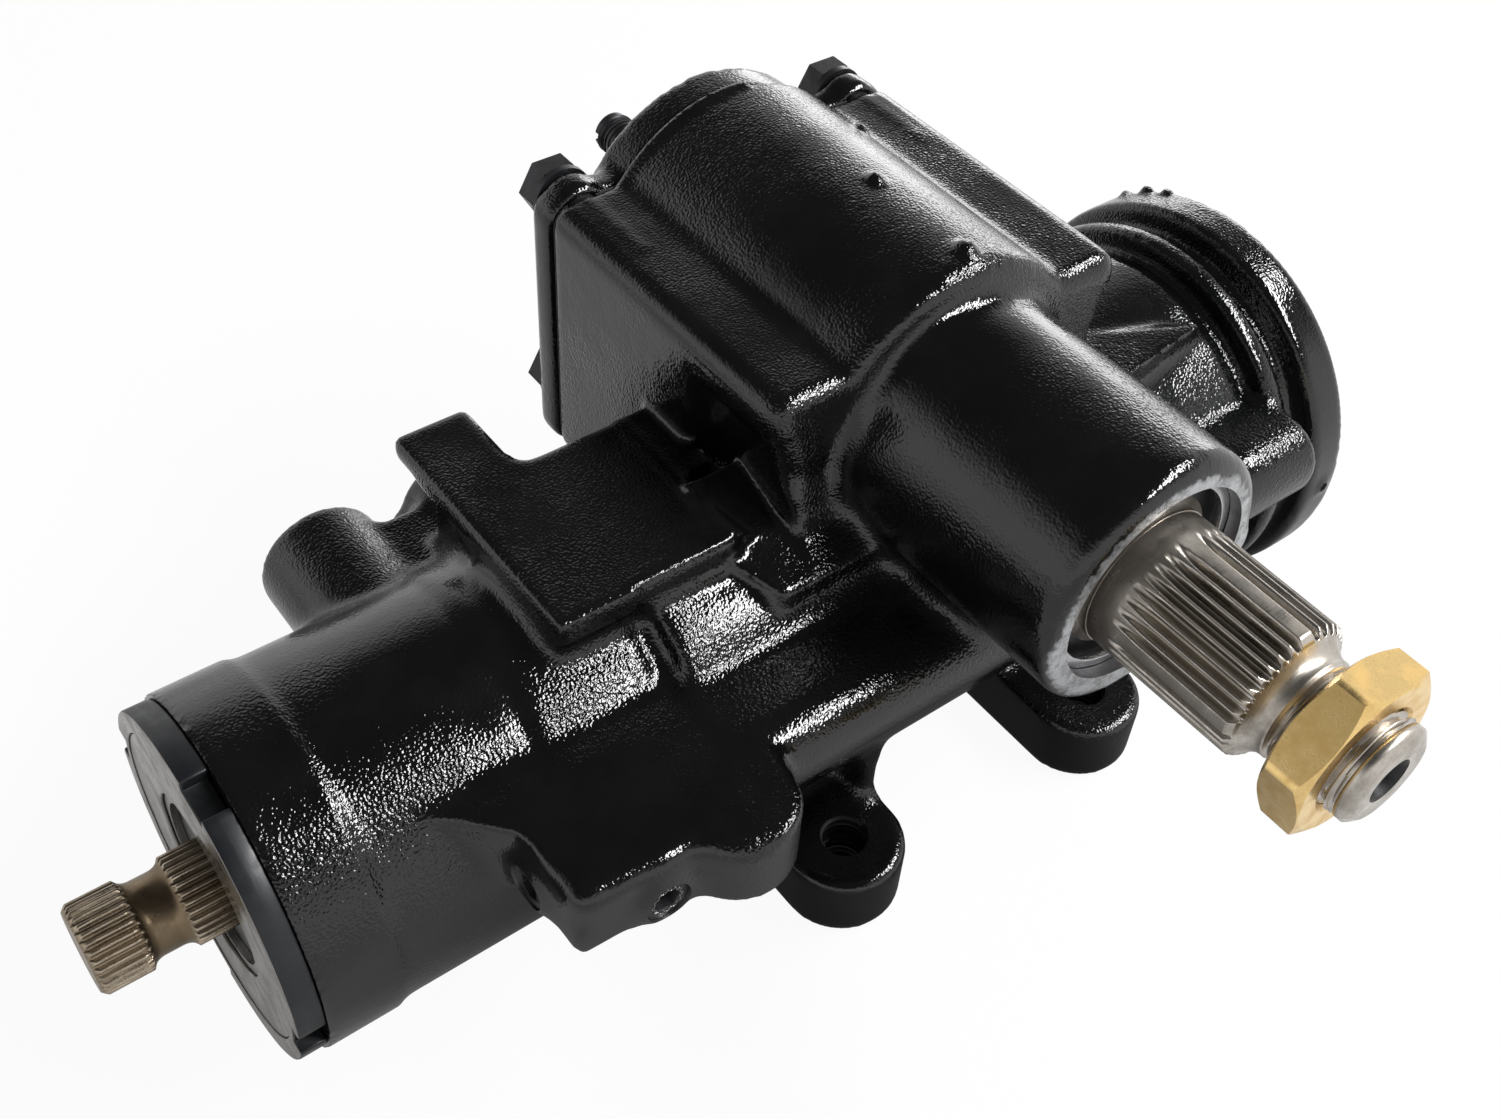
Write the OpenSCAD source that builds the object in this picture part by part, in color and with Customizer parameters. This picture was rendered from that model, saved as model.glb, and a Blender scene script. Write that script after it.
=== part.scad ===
// Integral power steering gear: recirculating-ball worm, rack piston and sector shaft in one casting.
// Origin on the mounting face, below the crossing of the worm and sector axes, in the middle of the four bolts.
// +X runs along the worm towards the end plug, -Y along the sector shaft towards its output, +Z away from the frame.

/* [Layout] */
// Height of the worm axis above the mounting face
worm_height = 56.5; // [56:0.1:60]
// Distance between the worm axis and the sector axis
centre_distance = 53; // [52.8:0.1:54.5]
// Distance from the sector axis to the input end of the casting
input_reach = 162.2; // [158:0.1:168]
// Distance from the sector axis to the end flange face
flange_reach = 109.8; // [109:0.2:116]
// Spacing of the mounting bolts along X
bolt_spacing_x = 77.5; // [74:0.1:80]
// Spacing of the mounting bolts along Y
bolt_spacing_y = 86.8; // [84:0.1:92]

/* [Casting] */
// Outer radius of the barrel round the piston
barrel_r = 42.5; // [42:0.1:43.5]
// Outer radius of the barrel round the valve
valve_barrel_r = 37.7; // [37.2:0.1:38.2]
// Outer radius of the band at the input end
input_band_r = 38.4; // [38.4:0.1:39.6]
// Outer radius of the end flange
flange_r = 50.3; // [48:0.1:50.3]
// Half width of the sector tower
tower_half_w = 47; // [46:0.1:50]
// Radius of the tower's dome about the sector axis
dome_r = 36; // [34:0.1:38]
// Front face of the tower, in front of the worm axis
tower_front = 17; // [16:0.1:20]
// Joint face of the side cover, behind the worm axis
cover_face = 62.6; // [61:0.1:66]
// Height of the tower's side ridges above the worm axis
ridge_height = 75; // [72:0.1:78]
// Outer radius of the output tube
tube_r = 28.8; // [28:0.1:31]
// End face of the output tube, in front of the worm axis
tube_reach = 77.2; // [76.5:0.1:82]
// Height of the gallery shelf's top above the worm axis
shelf_height = 27; // [26:0.1:29]
// Thickness of the gallery shelf
shelf_t = 17.6; // [17:0.1:19]
// Height of the top pad above the worm axis
pad_height = 46.5; // [45:0.1:50]
// Radius of a mounting ear
ear_r = 14.5; // [12:0.1:15.5]
// Thickness of a mounting ear
ear_t = 18; // [16:0.1:20]
// Radius of the tapped holes in the ears
ear_hole_r = 5.56; // [4.5:0.01:6.5]
// Radius of a port boss
port_boss_r = 14; // [13:0.1:15]
// End face of the port bosses, behind the worm axis
port_face = 56; // [54:0.5:62]
// Radius of the pressure port's thread
pressure_port_r = 7.94; // [7:0.01:9]
// Radius of the return port's thread
return_port_r = 8.73; // [8:0.01:10]

/* [Bores] */
// Radius of the piston bore
piston_bore_r = 34.925; // [34:0.005:35.5]
// Radius of the valve bore
valve_bore_r = 27; // [26.5:0.05:28]
// Radius of the adjuster plug's thread
adjuster_r = 33; // [32:0.1:34]
// Radius of the end plug
end_plug_r = 38.05; // [37:0.05:39]
// Running clearance on a radius
running_clearance = 0.05; // [0.02:0.01:0.08]
// Clearance round fixed pieces
seat_clearance = 0.05; // [0.02:0.01:0.1]

/* [Sector shaft] */
// Radius of the sector shaft's journals
journal_r = 17.46; // [17:0.01:18]
// Pitch radius of the sector teeth
sector_pitch_r = 28; // [27.8:0.1:28.2]
// Tooth spaces in a full turn of the sector's pitch circle
sector_turn_teeth = 12; // [12:1:12]
// Pressure angle of the teeth
pressure_angle = 25; // [24:0.5:26]
// Width of the sector teeth along the shaft
sector_width = 34; // [28:0.5:38]
// Tip radius of the output spline
output_spline_r = 15.65; // [15:0.01:16.5]
// Length of the output spline
output_spline_l = 26; // [20:0.5:28]
// Radius of the threaded end
output_thread_r = 11.1; // [10:0.1:12]
// End of the sector shaft, in front of the worm axis
shaft_reach = 133.4; // [131:0.1:140]
// Width across the flats of the output nut
nut_across_flats = 33.34; // [30:0.01:36]
// Thickness of the output nut
nut_t = 9.4; // [8:0.1:12]

/* [Worm and valve] */
// Axial travel of the balls in one turn of the worm
worm_lead = 12.7; // [12.5:0.1:13]
// Radius of the circle on which the balls run
ball_circle_r = 12; // [11.9:0.05:12.2]
// Radius of a ball
ball_r = 2.78; // [2.6:0.01:2.9]
// Outer radius of the worm thread
worm_r = 11.2; // [10.8:0.1:11.5]
// Balls in the loaded circuit
ball_count = 25; // [12:1:25]
// Tip radius of the input splines
input_spline_r = 9.52; // [9.2:0.01:10]
// End of the stub shaft beyond the casting's input end
stub_reach = 30.8; // [29:0.1:36]
// Radius of the torsion bar
torsion_bar_r = 3; // [2.5:0.1:3.2]
// Radius of the spool valve
spool_r = 13.2; // [12.8:0.1:14]

/* [Fasteners] */
// Thread radius of the cover bolts
cover_bolt_r = 4.76; // [4:0.01:5]
// Width across the flats of the cover bolt heads
cover_bolt_flats = 14.29; // [12:0.01:15]
// Thread radius of the lash adjuster screw
lash_screw_r = 4.76; // [4.5:0.01:5.5]
// Thickness of the side cover's flange
cover_t = 7; // [6.5:0.1:9]

/* [Hidden] */
$fn = 96;
eps = 0.02;
sector_z = worm_height + centre_distance;
input_x = -input_reach;
cover_gasket_t = 0.6;
cover_y = cover_face + cover_gasket_t;
cover_out_y = cover_y + cover_t;

// Stations along the worm, counted from the wall between valve and piston
web_x = -68;
web_t = 6;
bore_x = web_x + web_t;
thrust_t = 4;
worm_flange_t = 4;
worm_flange_x = web_x - thrust_t - seat_clearance - worm_flange_t;
valve_body_l = 50;
valve_body_x = worm_flange_x - valve_body_l;
upper_thrust_x = valve_body_x - thrust_t - seat_clearance;
adjuster_thread_x = upper_thrust_x - 6;
adjuster_face_x = input_x - 5.4;
lock_nut_t = 5.7;
lock_nut_r = 37.8;
stub_ring_inset = 0.8;
stub_ring_t = 1.5;
stub_journal_r = 8.75;
stub_bearing_r = 12.7;
stub_seal_r = 20;
stub_x = input_x - stub_reach;
web_hole_r = 15.5;
thrust_r = valve_bore_r - 2;

// Teeth shared by the sector and the rack
tooth_module = 2 * sector_pitch_r / sector_turn_teeth;
tooth_pitch = PI * tooth_module;
addendum = 0.8 * tooth_module;
dedendum = 1.1 * tooth_module;
tooth_backlash = 0.35;
tip_r = sector_pitch_r + addendum;
rack_line = centre_distance - sector_pitch_r;
sector_swing = 40;
rack_travel = sector_pitch_r * sector_swing * PI / 180;
chamber_r = tip_r + 2;
chamber_front = tower_front - 8;
sector_front = chamber_front - 1;
hub_r = 21;
neck_r = 24;

// Rack piston
rack_r = piston_bore_r - 0.075;
rack_x0 = bore_x + rack_travel + 2.5;
rack_x1 = 62;
piston_groove = [rack_x1 - 14, rack_x1 - 10];
rack_flat = 34;
nut_bore_r = ball_circle_r + ball_r + 0.12;
rack_bore_end = 50;
worm_x0 = -46;
worm_x1 = rack_bore_end - rack_travel - 3;
ball_x0 = -20;
ball_step = 27.5;
groove_r = ball_r + 0.52;
guide_tube_r = 4.4;
guide_drop = 23;
guide_leg = 15.2;
clamp_t = 2;
clamp_top = guide_drop + guide_tube_r + 0.1;
guide_end_x = ball_x0 + worm_lead * ball_step * (ball_count - 1) / 360;
guide_mid_x = (ball_x0 + guide_end_x) / 2;
clamp_half_x = 8;
clamp_half_y = 13;
clamp_screw_y = 9.5;

// Sector shaft and its seals
shaft_in_y = cover_face - 6.4;
journal_y = 5 - tube_reach;
spline_y0 = -tube_reach - 6.8 - output_spline_l;
thread_neck_l = 3;
nut_y = spline_y0 - 8.4 - nut_t;
bearing_r = journal_r + 3.18;
seal_bore_r = journal_r + 5.54;
seal_y = -tube_reach + 21;
oil_seal_t = 7;
backup_washer_t = 1.55;
dust_seal_t = 5.35;
washer_y = seal_y - oil_seal_t - seat_clearance;
dust_seal_y = washer_y - backup_washer_t - seat_clearance;
lash_head_r = 8;
lash_head_y = shaft_in_y - 8.2;
lash_tip_y = 109.5;
cover_dome_y = cover_out_y + 4;
lash_boss_y = cover_dome_y + 3;
lash_nut_t = 7;
lash_boss_r = 14;
bushing_y0 = shaft_in_y - 18.2;
bushing_wall = 2.5;

// Cover bolts stand in the corners of the tower
cover_bolt_x = tower_half_w - 8.3;
cover_bolt_top = ridge_height - 4.8;
cover_bolt_low = 18.8;
tower_base = 6;
bolt_head_t = 7;
bolt_l = 26;

// End of the barrel
counterbore_x = flange_reach - 15.8;
ring_x = flange_reach - 6.7;
ring_t = 2.2;
ring_hole_r = 1.3;
ring_hole_z = 1.9;
flange_t = 11.8;
end_body_r = 44;
end_rib_r = 48;

// Ports and galleries
port_z = worm_height + 13;
port_x = [input_x + 48.7, input_x + 82.2];
port_depth = 12;
port_web = 10;
seat_t = 5;
seat_step = 1.5;
passage_r = 3;
block_front = 59.8;
block_x = -120.8;
block_l = 24;
block_flare = 1.5;
lobe = [-83, -56.6];
lobe_r = 12.5;
plug_r = 4.8;
plug_t = 6;
plug_sink = 0.3;
plug_stand = 1.2;
plug_z = worm_height + shelf_height - 11.3;
front_plug_x = -102.6;
front_plug_y = -block_front - block_flare * (front_plug_x - block_x) / block_l;
side_plug_y = -44.6;
gallery_x0 = lobe[0] + 6;
gallery_x1 = 90;
gallery_r = 10.5;
gallery_y = -44.5;

// Cylinder along the worm axis from x0 to x1
module rod(r, x0, x1) {
    translate([x0, 0, worm_height]) rotate([0, 90, 0]) cylinder(r = r, h = x1 - x0);
}

// Ring about the worm axis
module collar(outer_r, inner_r, x0, x1) {
    difference() {
        rod(outer_r, x0, x1);
        rod(inner_r, x0 - eps, x1 + eps);
    }
}

// Cylinder along Y from y0 to y1, by default on the sector axis
module pin(r, y0, y1, x = 0, z = sector_z) {
    translate([x, y0, z]) rotate([-90, 0, 0]) cylinder(r = r, h = y1 - y0);
}

// Ring about an axis along Y
module sleeve(outer_r, inner_r, y0, y1, x = 0, z = sector_z) {
    difference() {
        pin(outer_r, y0, y1, x, z);
        pin(inner_r, y0 - eps, y1 + eps, x, z);
    }
}

// Outline drawn in X and height above the worm axis, extruded from y0 to y1
module upright(y0, y1) {
    translate([0, y1, worm_height]) rotate([90, 0, 0]) linear_extrude(y1 - y0) children();
}

// Outline drawn in Y and height above the worm axis, extruded from x0 to x1
module profile(x0, x1) {
    translate([x0, 0, worm_height]) rotate([90, 0, 90]) linear_extrude(x1 - x0) children();
}

// Plan outline extruded between two heights above the worm axis
module slab(z0, z1) {
    translate([0, 0, worm_height + z0]) linear_extrude(z1 - z0) children();
}

// Hexagonal prism along Y with chamfered ends
module hex_along_y(flats, y0, y1, x = 0, z = sector_z) {
    corner_r = flats / 2 / cos(30);
    chamfer = corner_r - flats / 2 - 0.3;
    intersection() {
        translate([x, y0, z]) rotate([-90, 0, 0]) cylinder(r = corner_r, h = y1 - y0, $fn = 6);
        translate([x, y0, z]) rotate([-90, 0, 0]) rotate_extrude()
            polygon([[0, 0], [corner_r - chamfer, 0], [corner_r, chamfer / 2],
                [corner_r, y1 - y0 - chamfer / 2], [corner_r - chamfer, y1 - y0], [0, y1 - y0]]);
    }
}

// Straight-sided spline section with its teeth evenly spaced
function spline_points(root_r, tip_r, teeth) = [
    for (i = [0 : teeth - 1], corner = [[-0.32, root_r], [-0.17, tip_r], [0.17, tip_r], [0.32, root_r]])
        let (a = 360 / teeth * (i + corner[0])) [corner[1] * cos(a), corner[1] * sin(a)]
];

// Outline of the tower and its cover: square with rounded corners and a dome about the sector axis
module tower_outline(half_w, top, base, dome, corner_r = 5) {
    for (side = [-1, 1]) {
        translate([side * (half_w - corner_r), top - corner_r]) circle(corner_r);
        translate([side * (half_w - corner_r), base + corner_r]) circle(corner_r);
    }
    translate([-half_w, base + corner_r]) square([2 * half_w, top - base - 2 * corner_r]);
    translate([corner_r - half_w, base]) square([2 * (half_w - corner_r), top - base]);
    translate([0, centre_distance]) circle(dome);
}

// Places the children at the four cover bolts, on the joint face
module at_cover_bolts() {
    for (side = [-1, 1], height = [cover_bolt_low, cover_bolt_top])
        translate([side * cover_bolt_x, cover_face, worm_height + height]) children();
}

// Barrel with its bands, grooves and end flange
module barrel() {
    groove_r = valve_barrel_r - 1.2;
    input_band_l = 16;
    groove = [-110, -106];
    slot = [-81, -75];
    rod(input_band_r, input_x, input_x + input_band_l);
    rod(valve_barrel_r, input_x, groove[0]);
    rod(groove_r, groove[0], groove[1]);
    rod(valve_barrel_r + 0.6, groove[1], slot[0]);
    rod(groove_r, slot[0], slot[1]);
    rod(barrel_r, slot[1], counterbore_x);
    rod(end_body_r, tower_half_w - 10, flange_reach - 28);
    rod(end_rib_r, flange_reach - 23, flange_reach - 17);
    rod(end_body_r, flange_reach - 17, flange_reach - flange_t);
    rod(flange_r, flange_reach - flange_t, flange_reach);
}

// Raised pad over the valve end: a long strip and a wider part against the tower
module top_pad() {
    plate_t = 6;
    inset = 2;
    strip = [-97, -17.5, 18, 64.5];
    wide = [-79.5, -17, 26, 42.5];
    slab(pad_height - plate_t, pad_height) {
        translate([strip[0], strip[1]]) square([strip[2], strip[3]]);
        translate([wide[0], wide[1]]) square([wide[2], wide[3]]);
    }
    slab(0, pad_height - plate_t + eps) {
        translate([strip[0] + inset, strip[1] + inset]) square([strip[2] - 2 * inset, strip[3] - 14]);
        translate([wide[0] - inset, wide[1] + inset]) square([wide[2], wide[3] - 2 * inset]);
    }
}

// Flat shelf with a lobe, and the round gallery that runs on from it under the output tube
module gallery_shelf() {
    chamfer = [11, 12];
    inner_y = -39.8;
    slab(shelf_height - shelf_t, shelf_height) {
        polygon([[block_x - chamfer[0], 0], [block_x - chamfer[0], inner_y + chamfer[1]], [block_x, inner_y],
            [block_x, -block_front], [block_x + block_l, -block_front - block_flare], lobe,
            [lobe[0] + lobe_r, gallery_y], [lobe[0] + lobe_r, 0]]);
        translate(lobe) circle(lobe_r);
    }
    gallery_z = worm_height + shelf_height + 1 - gallery_r;
    translate([gallery_x0, gallery_y, gallery_z - gallery_r]) cube([gallery_x1 - gallery_x0, -gallery_y, 2 * gallery_r]);
    translate([gallery_x0, gallery_y, gallery_z]) rotate([0, 90, 0]) cylinder(r = gallery_r, h = gallery_x1 - gallery_x0);
}

// Tower for the sector with its ridges, the foot that spreads onto the barrel, and the output tube
module tower() {
    recess_y = 11;
    recess_depth = 9.5;
    ridge_t = 8.5;
    foot_y = -27.7;
    foot_half_w = 50;
    foot_top = 36;
    flare_half_w = tower_half_w - 6;
    flare_top = 54;
    tube_foot = 21;
    difference() {
        upright(-tower_front, cover_face) tower_outline(tower_half_w, ridge_height, tower_base, dome_r);
        for (side = [0, 1]) mirror([side, 0, 0]) upright(-tower_front - 1, recess_y)
            polygon([[tower_half_w + 1, shelf_height], [tower_half_w + 1, ridge_height - ridge_t],
                [tower_half_w - 1, ridge_height - ridge_t], [tower_half_w - recess_depth, shelf_height]]);
    }
    slab(0, foot_top) polygon([[-foot_half_w - 6, 0], [-foot_half_w - 6, foot_y + 9], [-foot_half_w, foot_y],
        [foot_half_w, foot_y], [foot_half_w, 0]]);
    profile(-flare_half_w, flare_half_w) polygon([[0, shelf_height], [foot_y, shelf_height], [foot_y, foot_top],
        [-tower_front - 2, foot_top + 6], [-tower_front, flare_top], [0, flare_top]]);
    translate([-tube_foot, gallery_y, worm_height]) cube([2 * tube_foot, -gallery_y, shelf_height + 7]);
    pin(tube_r, -tube_reach, 0);
    slab(0, barrel_r + 1) polygon([[tower_half_w - 5, -2], [tower_half_w - 5, -24], [79, -19.5]]);
}

// Four ears with the arms and ribs that join them to the barrel
module mounting_ears() {
    for (side_x = [-1, 1]) {
        x = side_x * bolt_spacing_x / 2;
        for (side_y = [-1, 1]) translate([x, side_y * bolt_spacing_y / 2, 0]) cylinder(r = ear_r, h = ear_t);
        translate([x - ear_r, -bolt_spacing_y / 2, 0]) cube([2 * ear_r, bolt_spacing_y, ear_t]);
        translate([x + ear_r - 5, -bolt_spacing_y / 2 + 6, ear_t - eps])
            cube([5, bolt_spacing_y - 12, worm_height - ear_t]);
    }
}

// Everything that is machined out of the casting
module housing_bores() {
    rod(adjuster_r + seat_clearance, input_x - eps, adjuster_thread_x);
    rod(valve_bore_r, input_x - eps, web_x);
    rod(web_hole_r, web_x - eps, bore_x + eps);
    rod(piston_bore_r, bore_x, flange_reach);
    rod(end_plug_r + seat_clearance, counterbore_x, flange_reach + eps);
    rod(end_plug_r + 1.5, ring_x, ring_x + ring_t);
    pin(ring_hole_r, -flange_r - 1, -end_plug_r, ring_x + ring_t / 2, worm_height + ring_hole_z);
    intersection() {
        pin(chamber_r, -chamber_front, cover_face + eps);
        translate([-chamber_r, -chamber_front - 1, worm_height])
            cube([2 * chamber_r, cover_face + chamber_front + 2, centre_distance + 2]);
    }
    pin(neck_r, -chamber_front, cover_face + eps);
    pin(bearing_r + seat_clearance, -tube_reach, 0);
    pin(seal_bore_r, -tube_reach - eps, seal_y);
    pin(seal_bore_r + 1.3, -tube_reach + 3, -tube_reach + 4.4);
    at_cover_bolts() rotate([90, 0, 0]) cylinder(r = cover_bolt_r + seat_clearance, h = bolt_l - cover_t + 4);
    for (x = [-1, 1] * bolt_spacing_x / 2, y = [-1, 1] * bolt_spacing_y / 2)
        translate([x, y, -eps]) cylinder(r = ear_hole_r, h = ear_t + 2 * eps);
    for (i = [0, 1]) {
        port_r = [pressure_port_r, return_port_r][i];
        pin(port_r, port_face - port_depth, port_face + eps, port_x[i], port_z);
        pin(port_r - seat_step, port_face - port_depth - seat_t, port_face, port_x[i], port_z);
        pin(passage_r, 0, port_face - port_depth, port_x[i], port_z);
    }
    gallery_plug_holes(plug_r + seat_clearance, 12);
}

// Cylinders of the two gallery plugs: one in the shelf's front face, one in its end face
module gallery_plug_holes(r, depth) {
    pin(r, front_plug_y - 2, front_plug_y + depth, front_plug_x, plug_z);
    translate([block_x - 2, side_plug_y, plug_z]) rotate([0, 90, 0]) cylinder(r = r, h = depth + 2);
}

module housing() {
    color([0.03, 0.03, 0.035]) difference() {
        union() {
            barrel();
            top_pad();
            gallery_shelf();
            tower();
            mounting_ears();
            for (x = port_x) pin(port_boss_r, 0, port_face, x, port_z);
            translate([port_x[0], 0, port_z - port_web]) cube([port_x[1] - port_x[0], port_face - 8, 2 * port_web]);
        }
        housing_bores();
    }
}

module side_cover() {
    color([0.03, 0.03, 0.035]) difference() {
        union() {
            upright(cover_y, cover_out_y) tower_outline(tower_half_w - 1, ridge_height - 1, tower_base + 1, dome_r - 2);
            pin(neck_r - 0.4, bushing_y0, cover_y + eps);
            pin(dome_r - 2, cover_out_y - eps, cover_dome_y);
            pin(lash_boss_r, cover_dome_y - eps, lash_boss_y);
        }
        pin(journal_r + bushing_wall + seat_clearance, bushing_y0 - eps, cover_y - 3);
        pin(lash_screw_r + seat_clearance, 0, lash_boss_y + eps);
        at_cover_bolts() rotate([-90, 0, 0]) cylinder(r = cover_bolt_r + 0.4, h = cover_t + 2);
    }
}

module cover_gasket() {
    color([0.25, 0.22, 0.2]) difference() {
        upright(cover_face, cover_y) tower_outline(tower_half_w - 1, ridge_height - 1, tower_base + 1, dome_r - 2);
        pin(chamber_r, cover_face - eps, cover_y + eps);
        at_cover_bolts() rotate([-90, 0, 0]) cylinder(r = cover_bolt_r + 0.4, h = cover_gasket_t + 1, center = true);
    }
}

module cover_bolts() {
    color([0.05, 0.05, 0.055]) for (side = [-1, 1], height = [cover_bolt_low, cover_bolt_top]) {
        x = side * cover_bolt_x;
        z = worm_height + height;
        hex_along_y(cover_bolt_flats, cover_out_y, cover_out_y + bolt_head_t, x, z);
        pin(cover_bolt_r, cover_out_y - bolt_l, cover_out_y + eps, x, z);
    }
}

module cover_bushing() {
    color([0.65, 0.5, 0.25])
        sleeve(journal_r + bushing_wall, journal_r + running_clearance, bushing_y0, cover_y - 3 - seat_clearance);
}

module lash_adjuster_screw() {
    slot_w = 2;
    slot_depth = 4;
    color([0.1, 0.1, 0.1]) difference() {
        union() {
            pin(lash_head_r, lash_head_y, lash_head_y + 4);
            pin(lash_screw_r, lash_head_y + 4 - eps, lash_tip_y);
        }
        translate([-lash_screw_r, lash_tip_y - slot_depth, sector_z - slot_w / 2])
            cube([2 * lash_screw_r, slot_depth + eps, slot_w]);
    }
}

module lash_lock_nut() {
    color([0.08, 0.08, 0.085]) difference() {
        hex_along_y(17.5, lash_boss_y, lash_boss_y + lash_nut_t);
        pin(lash_screw_r + seat_clearance, lash_boss_y - eps, lash_boss_y + lash_nut_t + eps);
    }
}

module lash_screw_retainer() {
    color([0.5, 0.5, 0.52])
        sleeve(lash_head_r + 0.35, lash_screw_r + 0.5, lash_head_y + 4.4, shaft_in_y - 0.3);
}

module sector_needle_bearing() {
    color([0.7, 0.7, 0.72])
        sleeve(bearing_r, journal_r + running_clearance, seal_y + 1, -chamber_front - 2);
}

module sector_oil_seal() {
    color([0.06, 0.06, 0.06])
        sleeve(seal_bore_r - seat_clearance, journal_r + running_clearance, seal_y - oil_seal_t, seal_y - seat_clearance);
}

module seal_backup_washer() {
    color([0.6, 0.6, 0.62])
        sleeve(seal_bore_r - seat_clearance, journal_r + 0.5, washer_y - backup_washer_t, washer_y);
}

module sector_dust_seal() {
    color([0.05, 0.05, 0.05])
        sleeve(seal_bore_r - seat_clearance, journal_r + running_clearance, dust_seal_y - dust_seal_t, dust_seal_y);
}

module seal_retaining_ring() {
    gap = 8;
    color([0.75, 0.75, 0.77]) difference() {
        sleeve(seal_bore_r + 1.25, seal_bore_r - 2.2, -tube_reach + 3.05, -tube_reach + 4.35);
        translate([-gap / 2, -tube_reach, sector_z]) cube([gap, 6, seal_bore_r + 2]);
    }
}

module end_plug() {
    drive = 19;
    color([0.35, 0.35, 0.36]) difference() {
        union() {
            rod(end_plug_r, counterbore_x + seat_clearance, ring_x - seat_clearance);
            rod(piston_bore_r - 0.3, counterbore_x - 6, counterbore_x + 1);
        }
        collar(end_plug_r + 1, end_plug_r - 2.7, counterbore_x + 2.4, counterbore_x + 5.6);
        translate([ring_x - 5, -drive / 2, worm_height - drive / 2]) cube([6, drive, drive]);
    }
}

module end_plug_o_ring() {
    section_r = 1.25;
    color([0.04, 0.04, 0.04]) translate([counterbore_x + 4, 0, worm_height]) rotate([0, 90, 0])
        rotate_extrude() translate([end_plug_r - section_r - 0.05, 0]) circle(section_r, $fn = 24);
}

module end_retaining_ring() {
    gap = 14;
    lug = 8;
    color([0.55, 0.55, 0.57]) difference() {
        collar(end_plug_r + 1.4, end_plug_r - 2, ring_x, ring_x + ring_t - seat_clearance);
        translate([ring_x - 1, -gap / 2, worm_height - end_plug_r - 3]) cube([ring_t + 2, gap, lug]);
    }
}

module adjuster_plug() {
    recess_end = input_x + 5;
    color([0.62, 0.62, 0.63]) difference() {
        union() {
            rod(adjuster_r, adjuster_face_x, adjuster_thread_x - 2);
            rod(valve_bore_r - 0.2, adjuster_thread_x - 2 - eps, upper_thrust_x - seat_clearance);
        }
        rod(stub_seal_r, adjuster_face_x - eps, recess_end);
        rod(stub_seal_r + 1, adjuster_face_x + stub_ring_inset - seat_clearance,
            adjuster_face_x + stub_ring_inset + stub_ring_t + seat_clearance);
        rod(stub_bearing_r + seat_clearance, recess_end - eps, upper_thrust_x + 1);
        collar(adjuster_r, valve_bore_r - 3, adjuster_thread_x + 0.6, adjuster_thread_x + 3.8);
    }
}

module adjuster_o_ring() {
    section_r = 1.25;
    color([0.04, 0.04, 0.04]) translate([adjuster_thread_x + 2.2, 0, worm_height]) rotate([0, 90, 0])
        rotate_extrude() translate([valve_bore_r - section_r - 0.1, 0]) circle(section_r, $fn = 24);
}

module plug_lock_nut() {
    notches = 4;
    notch_turn = 12;
    notch_w = 8.3;
    notch_depth = 3.2;
    color([0.05, 0.055, 0.06]) difference() {
        collar(lock_nut_r, adjuster_r + seat_clearance, input_x - lock_nut_t, input_x);
        for (i = [0 : notches - 1]) translate([input_x - lock_nut_t, 0, worm_height]) rotate([360 / notches * i + notch_turn, 0, 0])
            translate([-eps, -notch_w / 2, lock_nut_r - notch_depth]) cube([lock_nut_t + 1, notch_w, 10]);
    }
}

module stub_needle_bearing() {
    color([0.7, 0.7, 0.72])
        collar(stub_bearing_r, stub_journal_r + running_clearance, input_x + 6.5, upper_thrust_x - 3);
}

module stub_oil_seal() {
    color([0.06, 0.06, 0.06])
        collar(stub_seal_r - seat_clearance, stub_journal_r + running_clearance, input_x - 0.5, input_x + 5 - seat_clearance);
}

module stub_dust_seal() {
    color([0.05, 0.05, 0.05])
        collar(stub_seal_r - seat_clearance, input_spline_r + 0.3, input_x - 3, input_x - 0.55);
}

module stub_retaining_ring() {
    color([0.6, 0.6, 0.62])
        collar(stub_seal_r + 1 - seat_clearance, stub_seal_r - 2.4, adjuster_face_x + stub_ring_inset,
            adjuster_face_x + stub_ring_inset + stub_ring_t);
}

// Two races with rollers between them
module thrust_bearing(x0, inner_r) {
    race_t = 1;
    collar(thrust_r, inner_r, x0, x0 + race_t);
    collar(thrust_r, inner_r, x0 + thrust_t - race_t, x0 + thrust_t);
    collar(thrust_r - 2, inner_r + 2, x0 + race_t - eps, x0 + thrust_t - race_t + eps);
}

module upper_thrust_bearing() {
    color([0.68, 0.68, 0.7]) thrust_bearing(upper_thrust_x, spool_r);
}

module lower_thrust_bearing() {
    color([0.68, 0.68, 0.7]) thrust_bearing(web_x - thrust_t, web_hole_r);
}

// Flared seat pressed into the bottom of a port
module port_seat(r, x) {
    difference() {
        pin(r - seat_step - seat_clearance, port_face - port_depth - seat_t + seat_clearance, port_face - port_depth, x, port_z);
        pin(passage_r, 0, port_face, x, port_z);
    }
}

module pressure_port_seat() {
    color([0.75, 0.6, 0.28]) port_seat(pressure_port_r, port_x[0]);
}

module return_port_seat() {
    color([0.75, 0.6, 0.28]) port_seat(return_port_r, port_x[1]);
}

module gallery_plugs() {
    socket_r = 2.9;
    socket_depth = 3.4;
    color([0.05, 0.05, 0.055]) {
        translate([front_plug_x, front_plug_y + plug_sink, plug_z]) rotate([-90, 0, 0]) difference() {
            cylinder(r = plug_r, h = plug_t);
            translate([0, 0, -eps]) cylinder(r = socket_r, h = socket_depth, $fn = 6);
        }
        translate([block_x - plug_stand, side_plug_y, plug_z]) rotate([0, 90, 0]) difference() {
            cylinder(r = plug_r, h = plug_t);
            translate([0, 0, -eps]) cylinder(r = socket_r, h = socket_depth, $fn = 6);
        }
    }
}

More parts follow.
